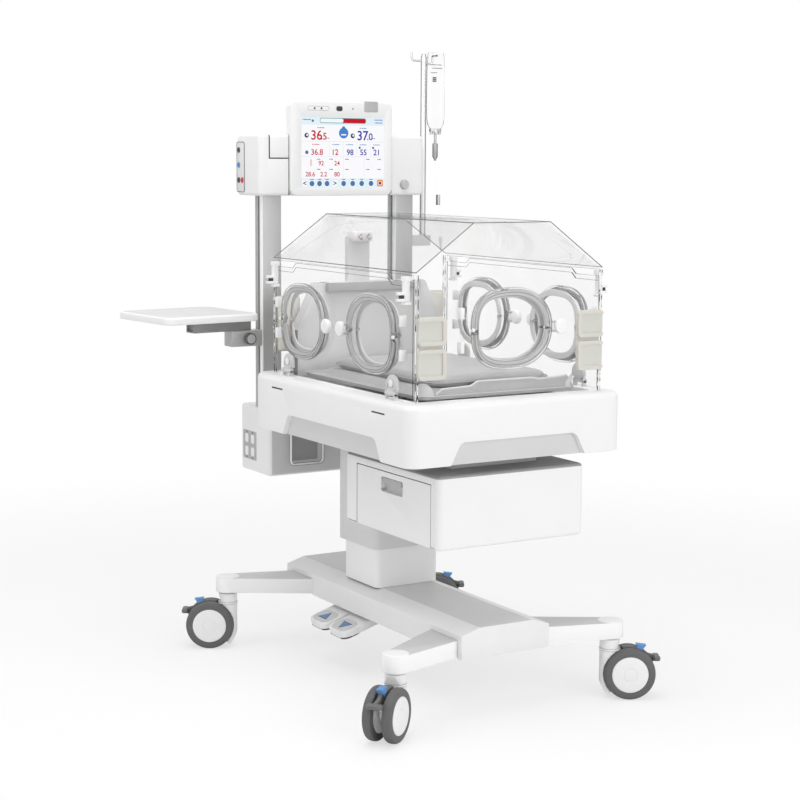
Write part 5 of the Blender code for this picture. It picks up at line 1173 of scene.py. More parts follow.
# %% Ports
PORT_HALF_WIDTH = 0.106
PORT_HALF_HEIGHT = 0.089
PORT_HOLE = 0.011
PORT_HINGE = 0.136
PORT_LATCH = 0.112
PORT_STEPS = 120
PORT_X = 0.165
PORT_Z = 0.895
FOOT_PORT = (-0.005, 0.911)
POWER_BLEND = 0.25
HINGE_SIDE_POWER = 2 / 2.9
LATCH_SIDE_POWER = 2 / 2.15
HINGE_OUT = 0.0105
LATCH_OUT = 0.0120


def port_frame(origin, towards_latch, outward):
    along, out = Vector(towards_latch), Vector(outward)
    matrix = Matrix((along, out, along.cross(out))).transposed().to_4x4()
    matrix.translation = origin
    return matrix


PORTS = {}
for row, side_y in (("front", -1), ("rear", 1)):
    for column, side_x in (("left", -1), ("right", 1)):
        middle = (side_x * PORT_X, side_y * HOOD_HALF[1], PORT_Z)
        PORTS[f"{row}_{column}"] = (port_frame(middle, (-side_x, 0, 0), (0, side_y, 0)), f"access_{row}")
PORTS["foot_end"] = (port_frame((HOOD_HALF[0], *FOOT_PORT), (0, 1, 0), (1, 0, 0)), "lift")


def egg(inset):
    """The port's outline: flatter on the hinge side, rounder on the latch side."""
    points = []
    for index in range(PORT_STEPS):
        turn = 2 * math.pi * index / PORT_STEPS
        cosine, sine = math.cos(turn), math.sin(turn)
        blend = 0.5 + 0.5 * max(-1.0, min(1.0, cosine / POWER_BLEND))
        power = HINGE_SIDE_POWER * (1 - blend) + LATCH_SIDE_POWER * blend
        u = math.copysign(abs(cosine) ** power, cosine) * (PORT_HALF_WIDTH - inset)
        w = math.copysign(abs(sine) ** power, sine) * (PORT_HALF_HEIGHT - inset)
        points.append((u, w))
    return points


def port_path(place, inset, out):
    matrix = PORTS[place][0]
    return [matrix @ Vector((u, out, w)) for u, w in egg(inset)]


def port_solid(place, sections):
    return loft([port_path(place, inset, out) for inset, out in sections])


def dress_port(place):
    matrix, wall = PORTS[place]
    door = f"door_{place}"
    swept_ring(f"port_rim_{place}", port_path(place, 0.0036, 0.0098), 0.0068, 0.0165, 0.0028, thick_acrylic,
               door, (f"port_door_{place}",))
    swept_ring(f"port_seal_{place}", port_path(place, 0.0086, 0.0092), 0.0026, 0.0150, 0.0011, port_gasket,
               door)
    swept_ring(f"port_lip_{place}", port_path(place, 0.0122, 0.0085), 0.0036, 0.0060, 0.0015, frosted, door)
    pane = port_solid(place, ((0.0106, 0.0020), (0.0106, 0.0062), (0.0300, 0.0078)))
    piece(f"port_pane_{place}", pane, clear_acrylic, door)
    swept_ring(f"port_sleeve_{place}", port_path(place, 0.0130, -0.0080), 0.0036, 0.0155, 0.0014,
               port_gasket, wall)
    # Thin dark rings along the rim's and the pane's edges are painted edge shade.
    outlines = [hoop(port_path(place, inset, out), 0.0005, 6)
                for inset, out in ((0.0007, 0.0168), (0.0068, 0.0176), (0.0144, 0.0104))]
    piece(f"port_outlines_{place}", together(*outlines), dark_edge, door)
    knuckle = together(rod((-PORT_HINGE, HINGE_OUT), 0.0048, -0.0235, 0.0235),
                       box((-PORT_HINGE + 0.003, -PORT_HALF_WIDTH + 0.005), (0.0072, 0.0138),
                           (-0.020, 0.020)))
    piece(f"port_knuckle_{place}", moved(knuckle, matrix), clear_acrylic, door, bevel=0.0008)
    stands = []
    for side in (-1, 1):
        height = on_side(side, 0.0255, 0.0510)
        stands.append(rod((-PORT_HINGE, HINGE_OUT), 0.0058, *height))
        stands.append(box((-PORT_HINGE - 0.0058, -PORT_HINGE + 0.0058), (-0.0002, HINGE_OUT), height))
    piece(f"port_barrels_{place}", moved(together(*stands), matrix), white_moulding, wall, bevel=0.0012)
    knob = moved(turned(((0.0044, 0.0), (0.0046, 0.0020), (0.0036, 0.0050), (0.0020, 0.0064),
                         (0.0005, 0.0068)), 24),
                 matrix @ at(-0.109, 0.0138, 0) @ spin(-90, "X"))
    piece(f"port_button_{place}", knob, white_moulding, door)
    ears = [rod((PORT_LATCH, LATCH_OUT), 0.0018, -0.0112, 0.0112, steps=16)]
    for side in (-1, 1):
        height = on_side(side, 0.0095, 0.0135)
        ears.append(box((PORT_HALF_WIDTH - 0.006, PORT_LATCH + 0.005), (0.0072, 0.0168), height))
    piece(f"latch_ears_{place}", moved(together(*ears), matrix), duct_moulding, door, bevel=0.0009)
    arm = together(rod((PORT_LATCH, LATCH_OUT), 0.0042, -0.0088, 0.0088),
                   box((PORT_LATCH, PORT_LATCH + 0.012), (0.0102, 0.0200), (-0.0072, 0.0072)))
    disc = turned(((0.0120, -0.0082), (0.0150, -0.0072), (0.0168, -0.0045), (0.0174, 0.0), (0.0172, 0.0038),
                   (0.0156, 0.0056), (0.0100, 0.0062), (0.0010, 0.0063)), 48)
    disc = moved(disc, at(PORT_LATCH + 0.018, 0.0186, 0) @ spin(-90, "X"))
    piece(f"latch_paddle_{place}", moved(together(arm, disc), matrix), white_moulding, f"port_latch_{place}",
          (f"port_latch_{place}",), bevel=0.0006)


for place in PORTS:
    dress_port(place)
print("ports", len(PORTS))

# %% [markdown]
# The hood is a bent acrylic shell with two end walls. Its clear sheets are 6 mm thick. Along every bend real
# acrylic shows a thin dark line, and its cut upright edges glint black and white. A perfect solid lacks both,
# so fine bars painted with that dark line and that glint, as painted edge shade and painted highlights, are
# laid along the bends, the corners and the side openings.

# %% Hood shell
EAVE_Z = 1.0435
ROOF_Z = 1.151
ROOF_HALF = 0.105
HOOD_BASE = 0.7529
SHEET = 0.006
GROMMET_Y = (0.1815, 0.2525)
GROMMET_Z = (0.804, 0.944)
EDGE_INSET = 0.0009


def hood_section(wall):
    low = HOOD_BASE - (0.02 if wall else 0.0)
    side = HOOD_HALF[1] - wall
    eave = EAVE_Z - wall * 0.55
    top = ROOF_HALF - wall * 0.4
    return ((-side, low), (side, low), (side, eave), (top, ROOF_Z - wall), (-top, ROOF_Z - wall),
            (-side, eave))


def make_hood():
    shape = prism(hood_section(0.0), -HOOD_HALF[0], HOOD_HALF[0], "x")
    shape = cut(shape, prism(hood_section(SHEET), -HOOD_HALF[0] + SHEET, HOOD_HALF[0] - SHEET, "x"))
    gap_x = HOOD_HALF[0] - 0.010
    shape = cut(shape, box((-gap_x, gap_x), (-0.4, 0.4), (HOOD_BASE - 0.01, EAVE_Z - 0.007)))
    for side in (-1, 1):
        slot_y = on_side(side, GROMMET_Y[0] + 0.006, GROMMET_Y[1] - 0.006)
        shape = cut(shape, box((-0.4, 0.4), slot_y, (GROMMET_Z[0] + 0.004, GROMMET_Z[1] - 0.004)))
    return cut(shape, port_solid("foot_end", ((PORT_HOLE, 0.01), (PORT_HOLE, -0.03))))


def roof_faces(centre, normal):
    return centre.z > EAVE_Z - 0.004 and abs(normal.x) < 0.5


def flat_roof(centre, normal):
    return centre.z > ROOF_Z - SHEET - 0.001 and abs(normal.z) > 0.95


hood = piece("hood_shell", make_hood(), clear_acrylic, "lift", ("hood_canopy",), 0.0006, 2,
             ((roof_acrylic, roof_faces), (flat_roof_acrylic, flat_roof)))


def bend_lines():
    bars = []
    x0, x1 = -HOOD_HALF[0], HOOD_HALF[0]
    for side, radius in ((-1, 0.0011), (1, 0.0008)):
        eave = (side * (HOOD_HALF[1] - EDGE_INSET), EAVE_Z - EDGE_INSET)
        roof = (side * ROOF_HALF, ROOF_Z - EDGE_INSET)
        bars.append(tube(((x0, *eave), (x1, *eave)), radius, 8))
        bars.append(tube(((x0, *roof), (x1, *roof)), radius, 8))
        for x in (x0 + EDGE_INSET, x1 - EDGE_INSET):
            bars.append(tube(((x, *eave), (x, *roof), (x, 0.0, roof[1])), 0.0010, 8))
    return bars


def corner_lines():
    bars = []
    for end in (-1, 1):
        x = end * (HOOD_HALF[0] - EDGE_INSET)
        for side in (-1, 1):
            for y in (HOOD_HALF[1] - EDGE_INSET, HOOD_HALF[1] - SHEET - EDGE_INSET):
                bars.append(((x, side * y, HOOD_BASE), (x, side * y, EAVE_Z - SHEET)))
    return [tube(bar, 0.0011, 8) for bar in bars]


def opening_lines():
    x = HOOD_HALF[0] - 0.0105
    bars = []
    for side in (-1, 1):
        y = side * (HOOD_HALF[1] - EDGE_INSET)
        bars.append(((-x, y, HOOD_BASE), (-x, y, EAVE_Z - 0.0066), (x, y, EAVE_Z - 0.0066),
                     (x, y, HOOD_BASE)))
    return [tube(bar, 0.0004, 8) for bar in bars]


piece("hood_bend_lines", together(*bend_lines()), dark_edge, "lift")
piece("hood_corner_lines", together(*corner_lines()), glinting_edge, "lift")
piece("hood_opening_lines", together(*opening_lines()), edge_shade_acrylic, "lift")
print("hood faces", len(hood.data.polygons))

# %% [markdown]
# Each access panel is a flat sheet with two port holes. Pale brackets with a round screw cap carry it at
# the bottom, and small lugs at the top corners hold the turning latches.

# %% Access panels
LATCH_X = 0.318
LATCH_Z = 0.978
HALF_TURN = spin(180, "Z")
BRACKET_HALF = 0.024
CAP_Z = PIVOT_Z + 0.0225
NOTCH_DROP = 0.013
FOLD_Z = (EAVE_Z - 0.0092, EAVE_Z - 0.0200)


def panel_sheet():
    half = HOOD_HALF[0] - 0.011
    low = HOOD_BASE + 0.003
    high = EAVE_Z - 0.008
    notch = high - NOTCH_DROP
    outline = ((-half, low), (half, low), (half, notch), (0.241, notch), (0.224, high), (-0.224, high),
               (-0.241, notch), (-half, notch))
    shape = prism(outline, -HOOD_HALF[1], -HOOD_HALF[1] + SHEET, "y")
    for place in ("front_left", "front_right"):
        shape = cut(shape, port_solid(place, ((PORT_HOLE, 0.01), (PORT_HOLE, -0.03))))
    return shape


def panel_brackets():
    parts = []
    for x in both(PIVOT_X):
        low, high = PIVOT_Z + 0.0080, PIVOT_Z + 0.0420
        outline = ([(x - BRACKET_HALF, low)] + [(x + BRACKET_HALF, low)]
                   + arc((x, high - BRACKET_HALF), BRACKET_HALF, 0, 180, 20))
        parts.append(prism(outline, -HOOD_HALF[1] - 0.0075, -HOOD_HALF[1] - 0.0001, "y"))
        for rib in (-0.017, 0.017):
            parts.append(box((x + rib - 0.0022, x + rib + 0.0022),
                             (-HOOD_HALF[1] - 0.0100, -HOOD_HALF[1] - 0.0070), (low, low + 0.014)))
        parts.append(box((x - 0.0138, x + 0.0138), (-PIVOT_Y - 0.0025, -HOOD_HALF[1] - 0.0002),
                         (PIVOT_Z + 0.003, PIVOT_Z + 0.012)))
        parts.append(rod((-PIVOT_Y, PIVOT_Z), 0.0060, x - 0.0138, x + 0.0138, "x"))
    return together(*parts)


def panel_caps():
    caps = []
    for x in both(PIVOT_X):
        cap = turned(((0.0090, 0.0), (0.0090, 0.0022), (0.0082, 0.0030), (0.0050, 0.0034),
                      (0.0010, 0.0034)), 40)
        caps.append(moved(cap, at(x, -HOOD_HALF[1] - 0.0073, CAP_Z) @ spin(90, "X")))
    return together(*caps)


def panel_lines():
    """Draw the sheet's own outline and, lower down, the fold that stiffens its top, as thin dark lines of
    painted edge shade.
    """
    half = HOOD_HALF[0] - 0.0125
    y = -HOOD_HALF[1] + EDGE_INSET
    bars = []
    for high in FOLD_Z:
        notch = high - NOTCH_DROP
        top = ((-half, y, notch), (-0.241, y, notch), (-0.224, y, high), (0.224, y, high), (0.241, y, notch),
               (half, y, notch))
        if bars:
            bars.append(top)
        else:
            bars.append(((-half, y, HOOD_BASE + 0.004), *top, (half, y, HOOD_BASE + 0.004)))
    return together(*[tube(bar, 0.0006, 8) for bar in bars])


def panel_slashes(side):
    """Painted dark glints where the sheet's top edge turns down, at the end nearer the foot."""
    y = -HOOD_HALF[1] + EDGE_INSET
    bars = []
    for high in FOLD_Z:
        bars.append(((side * 0.2255, y, high - 0.001), (side * 0.2400, y, high - 0.0122)))
    return together(*[tube(bar, 0.0013, 8) for bar in bars])


def cap_outlines():
    rings = []
    for x in both(PIVOT_X):
        ring = [(u, -HOOD_HALF[1] - 0.0082, w) for u, w in arc((x, CAP_Z), 0.0092, 0, 360, 40)]
        rings.append(tube(ring, 0.0006, 8))
    return together(*rings)


def panel_lugs():
    parts = []
    for x in both(LATCH_X):
        parts.append(box((x - 0.009, x + 0.009), (-HOOD_HALF[1] - 0.016, -HOOD_HALF[1] - 0.0001),
                         (LATCH_Z - 0.007, LATCH_Z - 0.0004)))
    return together(*parts)


for body, matrix, place in (("access_front", Matrix.Identity(4), "front"),
                            ("access_rear", HALF_TURN, "rear")):
    piece(f"panel_sheet_{place}", moved(panel_sheet(), matrix), clear_acrylic, body,
          (f"access_panel_{place}",), 0.0006, 2)
    piece(f"panel_lines_{place}", moved(panel_lines(), matrix), edge_shade_acrylic, body)
    piece(f"panel_brackets_{place}", moved(panel_brackets(), matrix), bracket_moulding, body, bevel=0.0010)
    piece(f"panel_caps_{place}", moved(panel_caps(), matrix), white_moulding, body)
    piece(f"panel_cap_outlines_{place}", moved(cap_outlines(), matrix), mid_grey_moulding, body)
    piece(f"panel_slashes_{place}", moved(panel_slashes(1 if place == "front" else -1), matrix), dark_edge,
          body)
    piece(f"panel_lugs_{place}", moved(panel_lugs(), matrix), white_moulding, body, bevel=0.0008)
for place in ("front_left", "front_right", "rear_left", "rear_right"):
    softened(f"panel_latch_{place}", white_moulding, f"panel_latch_{place}", 0.0012, 3)
    side_x = -1 if place.endswith("left") else 1
    side_y = -1 if place.startswith("front") else 1
    # A small black box at each latch is painted shade.
    shade_y = on_side(side_y, HOOD_HALF[1] + 0.0168, HOOD_HALF[1] + 0.0255)
    shade = box((side_x * LATCH_X - 0.0048, side_x * LATCH_X + 0.0048), shade_y,
                (LATCH_Z + 0.0071, LATCH_Z + 0.0149))
    piece(f"panel_latch_gap_{place}", shade, gap_black, f"panel_latch_{place}")

# %% [markdown]
# Tubes and probes enter through soft cream grommets at the hood's corners. Each has two pads. A raised
# border runs round three sides of a pad, and the fourth side, towards the corner of the hood, is open.

# %% Grommets
PAD_Z = ((0.804, 0.8725), (0.8805, 0.944))
PAD_PROUD = 0.0125
PAD_BORDER = 0.0095
PAD_SUNK = 0.0042


def grommet(end, side):
    wall = end * HOOD_HALF[0]
    strip_x = sorted((wall - end * (SHEET + 0.002), wall + end * 0.004))
    strip_y = on_side(side, GROMMET_Y[0] + 0.0065, GROMMET_Y[1] - 0.0065)
    parts = [box(strip_x, strip_y, (GROMMET_Z[0] + 0.0045, GROMMET_Z[1] - 0.0045))]
    face = wall + end * PAD_PROUD
    for low, high in PAD_Z:
        pad_y = on_side(side, GROMMET_Y[0], GROMMET_Y[1])
        pad = prism(rounded(pad_y, (low, high), 0.009), *sorted((wall + end * 0.0003, face)), "x")
        sunk_y = on_side(side, GROMMET_Y[0] + PAD_BORDER, GROMMET_Y[1] + 0.05)
        sunk = prism(rounded(sunk_y, (low + PAD_BORDER, high - PAD_BORDER), 0.004),
                     *sorted((face - end * PAD_SUNK, face + end * 0.01)), "x")
        parts.append(cut(pad, sunk))
    return together(*parts)


for place, end, side in (("foot_left", 1, -1), ("foot_right", 1, 1), ("head_left", -1, -1),
                         ("head_right", -1, 1)):
    pads = piece(f"grommet_{place}", grommet(end, side), silicone, "lift", (f"grommet_{place}",), 0.0013,
                    3)
    print("grommet", place, "faces", len(pads.data.polygons))

# %% [markdown]
# The storage cabinet is a white case with round edges and one drawer on the operator's side. The case is
# drawn with finer corners than its CAD node. The drawer's front has a recessed pull with a lip to hold.

# %% Cabinet and drawer
CABINET_X = (-0.0686, 0.361)
CABINET_HALF = 0.203
CABINET_Z = (0.4135, 0.585)
DRAWER_X = (-0.0076, 0.327)
DRAWER_Z = (0.4183, 0.5619)
DRAWER_GAP = 0.0018
PULL_X = (0.106, 0.205)
PULL_Z = (0.514, 0.549)


def soft_case(x, y, z, corner, edge, steps=8):
    """A box with round upright corners and rounded rims."""
    rings = []
    for step in range(steps + 1):
        turn = math.radians(90 * step / steps)
        rings.append((edge * (1 - math.sin(turn)), z[0] + edge * (1 - math.cos(turn))))
    rings += [(inset, z[1] + z[0] - height) for inset, height in reversed(rings)]
    return loft([raised(inset_by(x, y, inset, corner - inset, 10), height) for inset, height in rings])


case = soft_case(CABINET_X, both(CABINET_HALF), CABINET_Z, 0.016, 0.010)
case = cut(case, box((DRAWER_X[0] - DRAWER_GAP, DRAWER_X[1] + DRAWER_GAP),
                     (-CABINET_HALF - 0.02, CABINET_HALF - 0.010),
                     (DRAWER_Z[0] - 0.0003, DRAWER_Z[1] + DRAWER_GAP)))


def case_top(centre, normal):
    return normal.z > 0.3 and centre.z > CABINET_Z[1] - 0.006


def drawer_gap(centre, normal):
    beside = min(abs(centre.x - DRAWER_X[0] + DRAWER_GAP), abs(centre.x - DRAWER_X[1] - DRAWER_GAP)) < 0.0003
    above = abs(centre.z - DRAWER_Z[1] - DRAWER_GAP) < 0.0003
    return centre.y > -CABINET_HALF + 0.0005 and ((beside and abs(normal.x) > 0.9)
                                                  or (above and normal.z < -0.9))


# The case's top is painted dark grey as the shade under the tray, and the walls of the drawer's gap black, as
# painted shade.
piece("cabinet_case", case, white_moulding, "lift", ("storage_cabinet",), 0.0008, sharp=28,
      zones=((ledge_moulding, case_top), (gap_black, drawer_gap)))

front = prism(((DRAWER_X[0], DRAWER_Z[0]), (DRAWER_X[1], DRAWER_Z[0]), (DRAWER_X[1], DRAWER_Z[1]),
               (DRAWER_X[0], DRAWER_Z[1])), -CABINET_HALF, -CABINET_HALF + 0.018, "y")
front = cut(front, prism(rounded(PULL_X, PULL_Z, 0.007), -CABINET_HALF - 0.01, -CABINET_HALF + 0.0145, "y"))


def pull_floor(centre, normal):
    in_pull = PULL_X[0] < centre.x < PULL_X[1] and PULL_Z[0] < centre.z < PULL_Z[1]
    return in_pull and centre.y > -CABINET_HALF + 0.004


piece("drawer_front", front, white_moulding, "drawer", ("drawer",), 0.0008, 3,
      ((light_grey_moulding, pull_floor),))
grip = prism(rounded((PULL_X[0] + 0.006, PULL_X[1] - 0.006), (PULL_Z[1] - 0.014, PULL_Z[1] - 0.001), 0.004),
             -CABINET_HALF + 0.0002, -CABINET_HALF + 0.0045, "y")
piece("drawer_grip", grip, mid_grey_moulding, "drawer", bevel=0.0009, segments=3)
tub = box((DRAWER_X[0] + 0.006, DRAWER_X[1] - 0.006), (-CABINET_HALF + 0.018, 0.157), (0.4203, 0.5479))
tub = cut(tub, box((DRAWER_X[0] + 0.009, DRAWER_X[1] - 0.009), (-CABINET_HALF + 0.0185, 0.154),
                   (0.4233, 0.6)))
piece("drawer_tub", tub, light_grey_moulding, "drawer", bevel=0.0008)
print("cabinet and drawer dressed")

# %% [markdown]
# The power box hangs under the head end. Its operator's side has a grey plate with four white sockets, and
# a chrome rail stands out in front of it for hoses. The sockets repeat, so they are placed by a loop over
# their rows.

# %% Power box
POWER_X = (-0.595, -0.427)
POWER_HALF = 0.2285
POWER_Z = (0.466, 0.642)
SOCKET_X = (-0.579, -0.501)
SOCKET_Z = (0.497, 0.5736)


# The box's face towards the foot is painted light grey, as the shade under the tray.
def shaded_side(centre, normal):
    return normal.x > 0.95


piece("power_case", soft_case(POWER_X, both(POWER_HALF), POWER_Z, 0.012, 0.008), white_moulding, "lift",
      ("power_box",), sharp=40, zones=((recess_moulding, shaded_side),))
# The plate inside the rail is painted the same dark grey.
rail_back = prism(rounded((-0.166, -0.086), (0.503, 0.600), 0.004), POWER_X[1] - 0.001, POWER_X[1] + 0.0004,
                  "x")
piece("rail_back", rail_back, ledge_moulding, "lift")
plate = prism(rounded(SOCKET_X, SOCKET_Z, 0.004), -POWER_HALF - 0.0004, -POWER_HALF + 0.003, "y")
piece("socket_plate", plate, mid_grey_moulding, "lift", bevel=0.0003)
sockets = []
pins = []
for column in (-1, 1):
    for row in (-1, 1):
        x = sum(SOCKET_X) / 2 + column * 0.017
        z = sum(SOCKET_Z) / 2 + row * 0.017
        sockets.append(prism(rounded((x - 0.0095, x + 0.0095), (z - 0.0120, z + 0.0120), 0.006),
                             -POWER_HALF - 0.0010, -POWER_HALF, "y"))
        pins.append(rod((x, z + row * 0.0165), 0.0028, -POWER_HALF - 0.0007, -POWER_HALF, "y", 16))
piece("socket_inserts", together(*sockets), white_moulding, "lift", bevel=0.0003)
piece("socket_marks", together(*pins), dark_moulding, "lift")
rail_x = POWER_X[1] + 0.017
rail_path = bent(((POWER_X[1] - 0.002, -0.173, 0.600), (rail_x, -0.173, 0.600), (rail_x, -0.173, 0.496),
                  (rail_x, -0.079, 0.496), (rail_x, -0.079, 0.600), (POWER_X[1] - 0.002, -0.079, 0.600)),
                 0.012)
piece("hose_rail", tube(rail_path, 0.004, 24), bright_tube, "lift")
print("sockets", len(sockets) + len(pins))

# %% [markdown]
# The posts are drawn aluminium bars with a slot down each broad face. Their real section has stepped slots
# and round corners, so it is drawn as one outline and pulled straight up.

# %% Posts
POST_X = (-0.507, -0.465)
POST_Y = (0.171, 0.228)


def post_outline(side):
    """Half-width 21 mm in X, with a slot of two widths in both faces along Y."""
    x0, x1 = POST_X
    y0, y1 = on_side(side, POST_Y[0], POST_Y[1])
    middle = (x0 + x1) / 2
    lower = [(x0 + 0.004, y0), (middle - 0.0125, y0), (middle - 0.0120, y0 + 0.0012),
             (middle - 0.005, y0 + 0.0016), (middle - 0.005, y0 + 0.008), (middle + 0.005, y0 + 0.008),
             (middle + 0.005, y0 + 0.0016), (middle + 0.0120, y0 + 0.0012), (middle + 0.0125, y0),
             (x1 - 0.004, y0)]
    corner = arc((x1 - 0.004, y0 + 0.004), 0.004, 275, 360, 5)
    other = arc((x1 - 0.004, y1 - 0.004), 0.004, 0, 85, 5)
    upper = [(u, y0 + y1 - v) for u, v in reversed(lower)]
    far = arc((x0 + 0.004, y1 - 0.004), 0.004, 95, 180, 5)
    last = arc((x0 + 0.004, y0 + 0.004), 0.004, 180, 265, 5)
    return lower + corner + other + upper + far + last


for side, place in ((-1, "left"), (1, "right")):
    near_y = min(side * POST_Y[0], side * POST_Y[1])

    # A strip of the face towards the operator, between the slot and the corner towards the foot, is painted
    # bright white as a painted highlight on the rounded corner.
    def lit_edge(centre, normal):
        return centre.x > sum(POST_X) / 2 + 0.0048 and centre.y < near_y + 0.0024 and normal.y < -0.3

    piece(f"post_bar_{place}", prism(post_outline(side), POWER_Z[1] + 0.0003, 1.1937), anodised, "lift",
          (f"post_{place}",), sharp=28, zones=((bright_coat, lit_edge),))
print("posts 2")

# %% [markdown]
# The control beam crosses both posts. It is one white moulding with a stepped seam at the operator's end
# and a plate of sensor sockets on its side. The sockets are ring-shaped: two dark, one blue and one red.

# %% Control beam
CONTROL_X = (-0.575, -0.441)
CONTROL_HALF = 0.246
CONTROL_Z = (1.194, 1.351)
MONITOR_X = -0.430
MONITOR_BACK = -0.460
MONITOR_Y = (-0.161, 0.140)
MONITOR_Z = (1.194, 1.437)
SEAM = 0.0016
SEAM_X = (CONTROL_X[1] - 0.004, CONTROL_X[1] + 0.01)
SEAM_Y = -0.218
SEAM_Z = 1.290
PLATE_OUTLINE = rounded((-0.572, -0.528), (1.2025, 1.331), 0.006)

beam = soft_case(CONTROL_X, both(CONTROL_HALF), CONTROL_Z, 0.012, 0.008)
pocket = box((MONITOR_BACK - 0.001, CONTROL_X[1] + 0.01), (MONITOR_Y[0] - 0.0022, MONITOR_Y[1] + 0.0022),
             (CONTROL_Z[0] - 0.01, CONTROL_Z[1] + 0.01))
beam = cut(beam, pocket)
beam = cut(beam, box(SEAM_X, (SEAM_Y - SEAM, SEAM_Y + SEAM), (SEAM_Z - SEAM, CONTROL_Z[1] + 0.01)))
beam = cut(beam, box(SEAM_X, (SEAM_Y, MONITOR_Y[0]), (SEAM_Z - SEAM, SEAM_Z + SEAM)))


def gap_walls(centre, normal):
    beside = min(abs(centre.y - MONITOR_Y[0] + 0.0022), abs(centre.y - MONITOR_Y[1] - 0.0022)) < 0.0004
    return beside and abs(normal.y) > 0.9 and centre.x < CONTROL_X[1] - 0.0009


def seam_faces(centre, normal):
    in_front = CONTROL_X[1] - 0.0045 < centre.x < CONTROL_X[1] - 0.0002
    upright = abs(centre.y - SEAM_Y) < 0.0020 and centre.z > 1.288
    level = abs(centre.z - SEAM_Z) < 0.0020 and -0.219 < centre.y < -0.162
    return in_front and (upright or level)


# The stepped seam's faces are painted black and the walls of the gaps beside the monitor mid grey, as painted
# shade.
piece("control_case", beam, white_moulding, "lift", ("control_beam",), 0.0008, 3,
      ((gap_black, seam_faces), (mid_grey_moulding, gap_walls)), sharp=28)
side_y = -CONTROL_HALF
plate = prism(PLATE_OUTLINE, side_y - 0.0006, side_y + 0.002, "y")
piece("sensor_plate", plate, sensor_label, "lift", bevel=0.0003)
border = [(x, side_y - 0.0006, z) for x, z in PLATE_OUTLINE]
piece("sensor_plate_border", hoop(border, 0.0008), dark_moulding, "lift")
for name, x, z, finish in (("top", -0.560, 1.3105, dark_moulding), ("middle", -0.560, 1.2720, blue_moulding),
                           ("low", -0.560, 1.2330, dark_moulding), ("red", -0.540, 1.2330, red_moulding)):
    ring = turned(((0.0074, 0.0), (0.0074, 0.0016), (0.0066, 0.0022), (0.0036, 0.0022), (0.0034, 0.0010),
                   (0.0008, 0.0010)), 32)
    ring = moved(ring, at(x, side_y - 0.0002, z) @ spin(90, "X"))
    piece(f"sensor_socket_{name}", ring, finish, "lift")
print("control beam dressed")

# %% [markdown]
# The monitor is a thick white tablet in the middle of the beam. Its frame has round corners, a strip with
# two keys, a light sensor and a grey alarm lamp above the screen, and a screen that lies a little deeper.

# %% Monitor case
SCREEN_Y = (-0.131, 0.116)
SCREEN_Z = (1.2140, 1.3970)


TO_FACE = Matrix(((0, 0, 1, 0), (1, 0, 0, 0), (0, 1, 0, 0), (0, 0, 0, 1)))


def tablet(x, y, z, corner, edge):
    """A soft box whose round corners are seen along X."""
    return moved(soft_case(y, z, x, corner, edge, 6), TO_FACE)


body = tablet((MONITOR_BACK, MONITOR_X), MONITOR_Y, MONITOR_Z, 0.0175, 0.003)
body = cut(body, prism(rounded(SCREEN_Y, SCREEN_Z, 0.002, 3), MONITOR_X - 0.0012, MONITOR_X + 0.01, "x"))
piece("monitor_case", body, white_moulding, "lift", ("monitor",), 0.0004, sharp=28)
# Two dark strips in the gaps beside the monitor are painted shade.
shades = [box((MONITOR_BACK + 0.002, CONTROL_X[1] - 0.0010), (MONITOR_Y[0] - 0.0021, MONITOR_Y[0] - 0.0001),
              (CONTROL_Z[0] + 0.002, 1.2885)),
          box((CONTROL_X[1] - 0.0010, CONTROL_X[1] + 0.0003), (MONITOR_Y[1] + 0.0034, MONITOR_Y[1] + 0.0052),
              (CONTROL_Z[0] + 0.004, CONTROL_Z[1] - 0.006))]
piece("monitor_gaps", together(*shades), dark_moulding, "lift")
strip_z = 1.4185
rim = [(MONITOR_X, y, z) for y, z in rounded((-0.112, -0.050), (strip_z - 0.0052, strip_z + 0.0052), 0.005)]
piece("monitor_key_rim", hoop(rim, 0.0005), mid_grey_moulding, "lift")
dots = [rod((y, strip_z), 0.0026, MONITOR_X, MONITOR_X + 0.0008, "x", 24) for y in (-0.0925, -0.0725)]
dots.append(prism(rounded((-0.0285, -0.0105), (strip_z - 0.0062, strip_z + 0.0062), 0.0045), MONITOR_X,
                  MONITOR_X + 0.0007, "x"))
dots.append(rod((0.0205, strip_z), 0.0018, MONITOR_X, MONITOR_X + 0.0007, "x", 20))
piece("monitor_sensors", together(*dots), gap_black, "lift", bevel=0.0002)
lamp = tablet((MONITOR_X - 0.024, MONITOR_X + 0.0018), (0.055, 0.096), (1.411, MONITOR_Z[1] + 0.0018),
              0.004, 0.0015)
piece("alarm_lamp", lamp, lamp_lens, "lift")
print("monitor case dressed")

# %% [markdown]
# The screen's picture is laid out as a real patient monitor's: a header with a two-part bar, two large
# temperatures with a blue drop between them, a grid of smaller values, and a row of round keys. Flat shapes
# and text meshes are gathered by colour, and each colour becomes one thin mesh just in front of the screen.

# %% Screen picture
LAYERS = {key: [] for key in glow}
FACE = MONITOR_X - 0.0010
LAYER = 0.00012
STROKE_GAIN = 0.016
screen_width = SCREEN_Y[1] - SCREEN_Y[0]
screen_height = SCREEN_Z[1] - SCREEN_Z[0]


def on_screen(u, v):
    """A point of the screen from fractions of its width and height, from its lower left corner."""
    return SCREEN_Y[0] + u * screen_width, SCREEN_Z[0] + v * screen_height


def patch(colour, u, v, layer=1, corner=0.0):
    low, high = on_screen(u[0], v[0]), on_screen(u[1], v[1])
    spans = (low[0], high[0]), (low[1], high[1])
    if corner:
        outline = rounded(*spans, corner, 5)
    else:
        outline = (low, (high[0], low[1]), high, (low[0], high[1]))
    LAYERS[colour].append(prism(outline, FACE + (layer - 1) * LAYER, FACE + layer * LAYER, "x"))


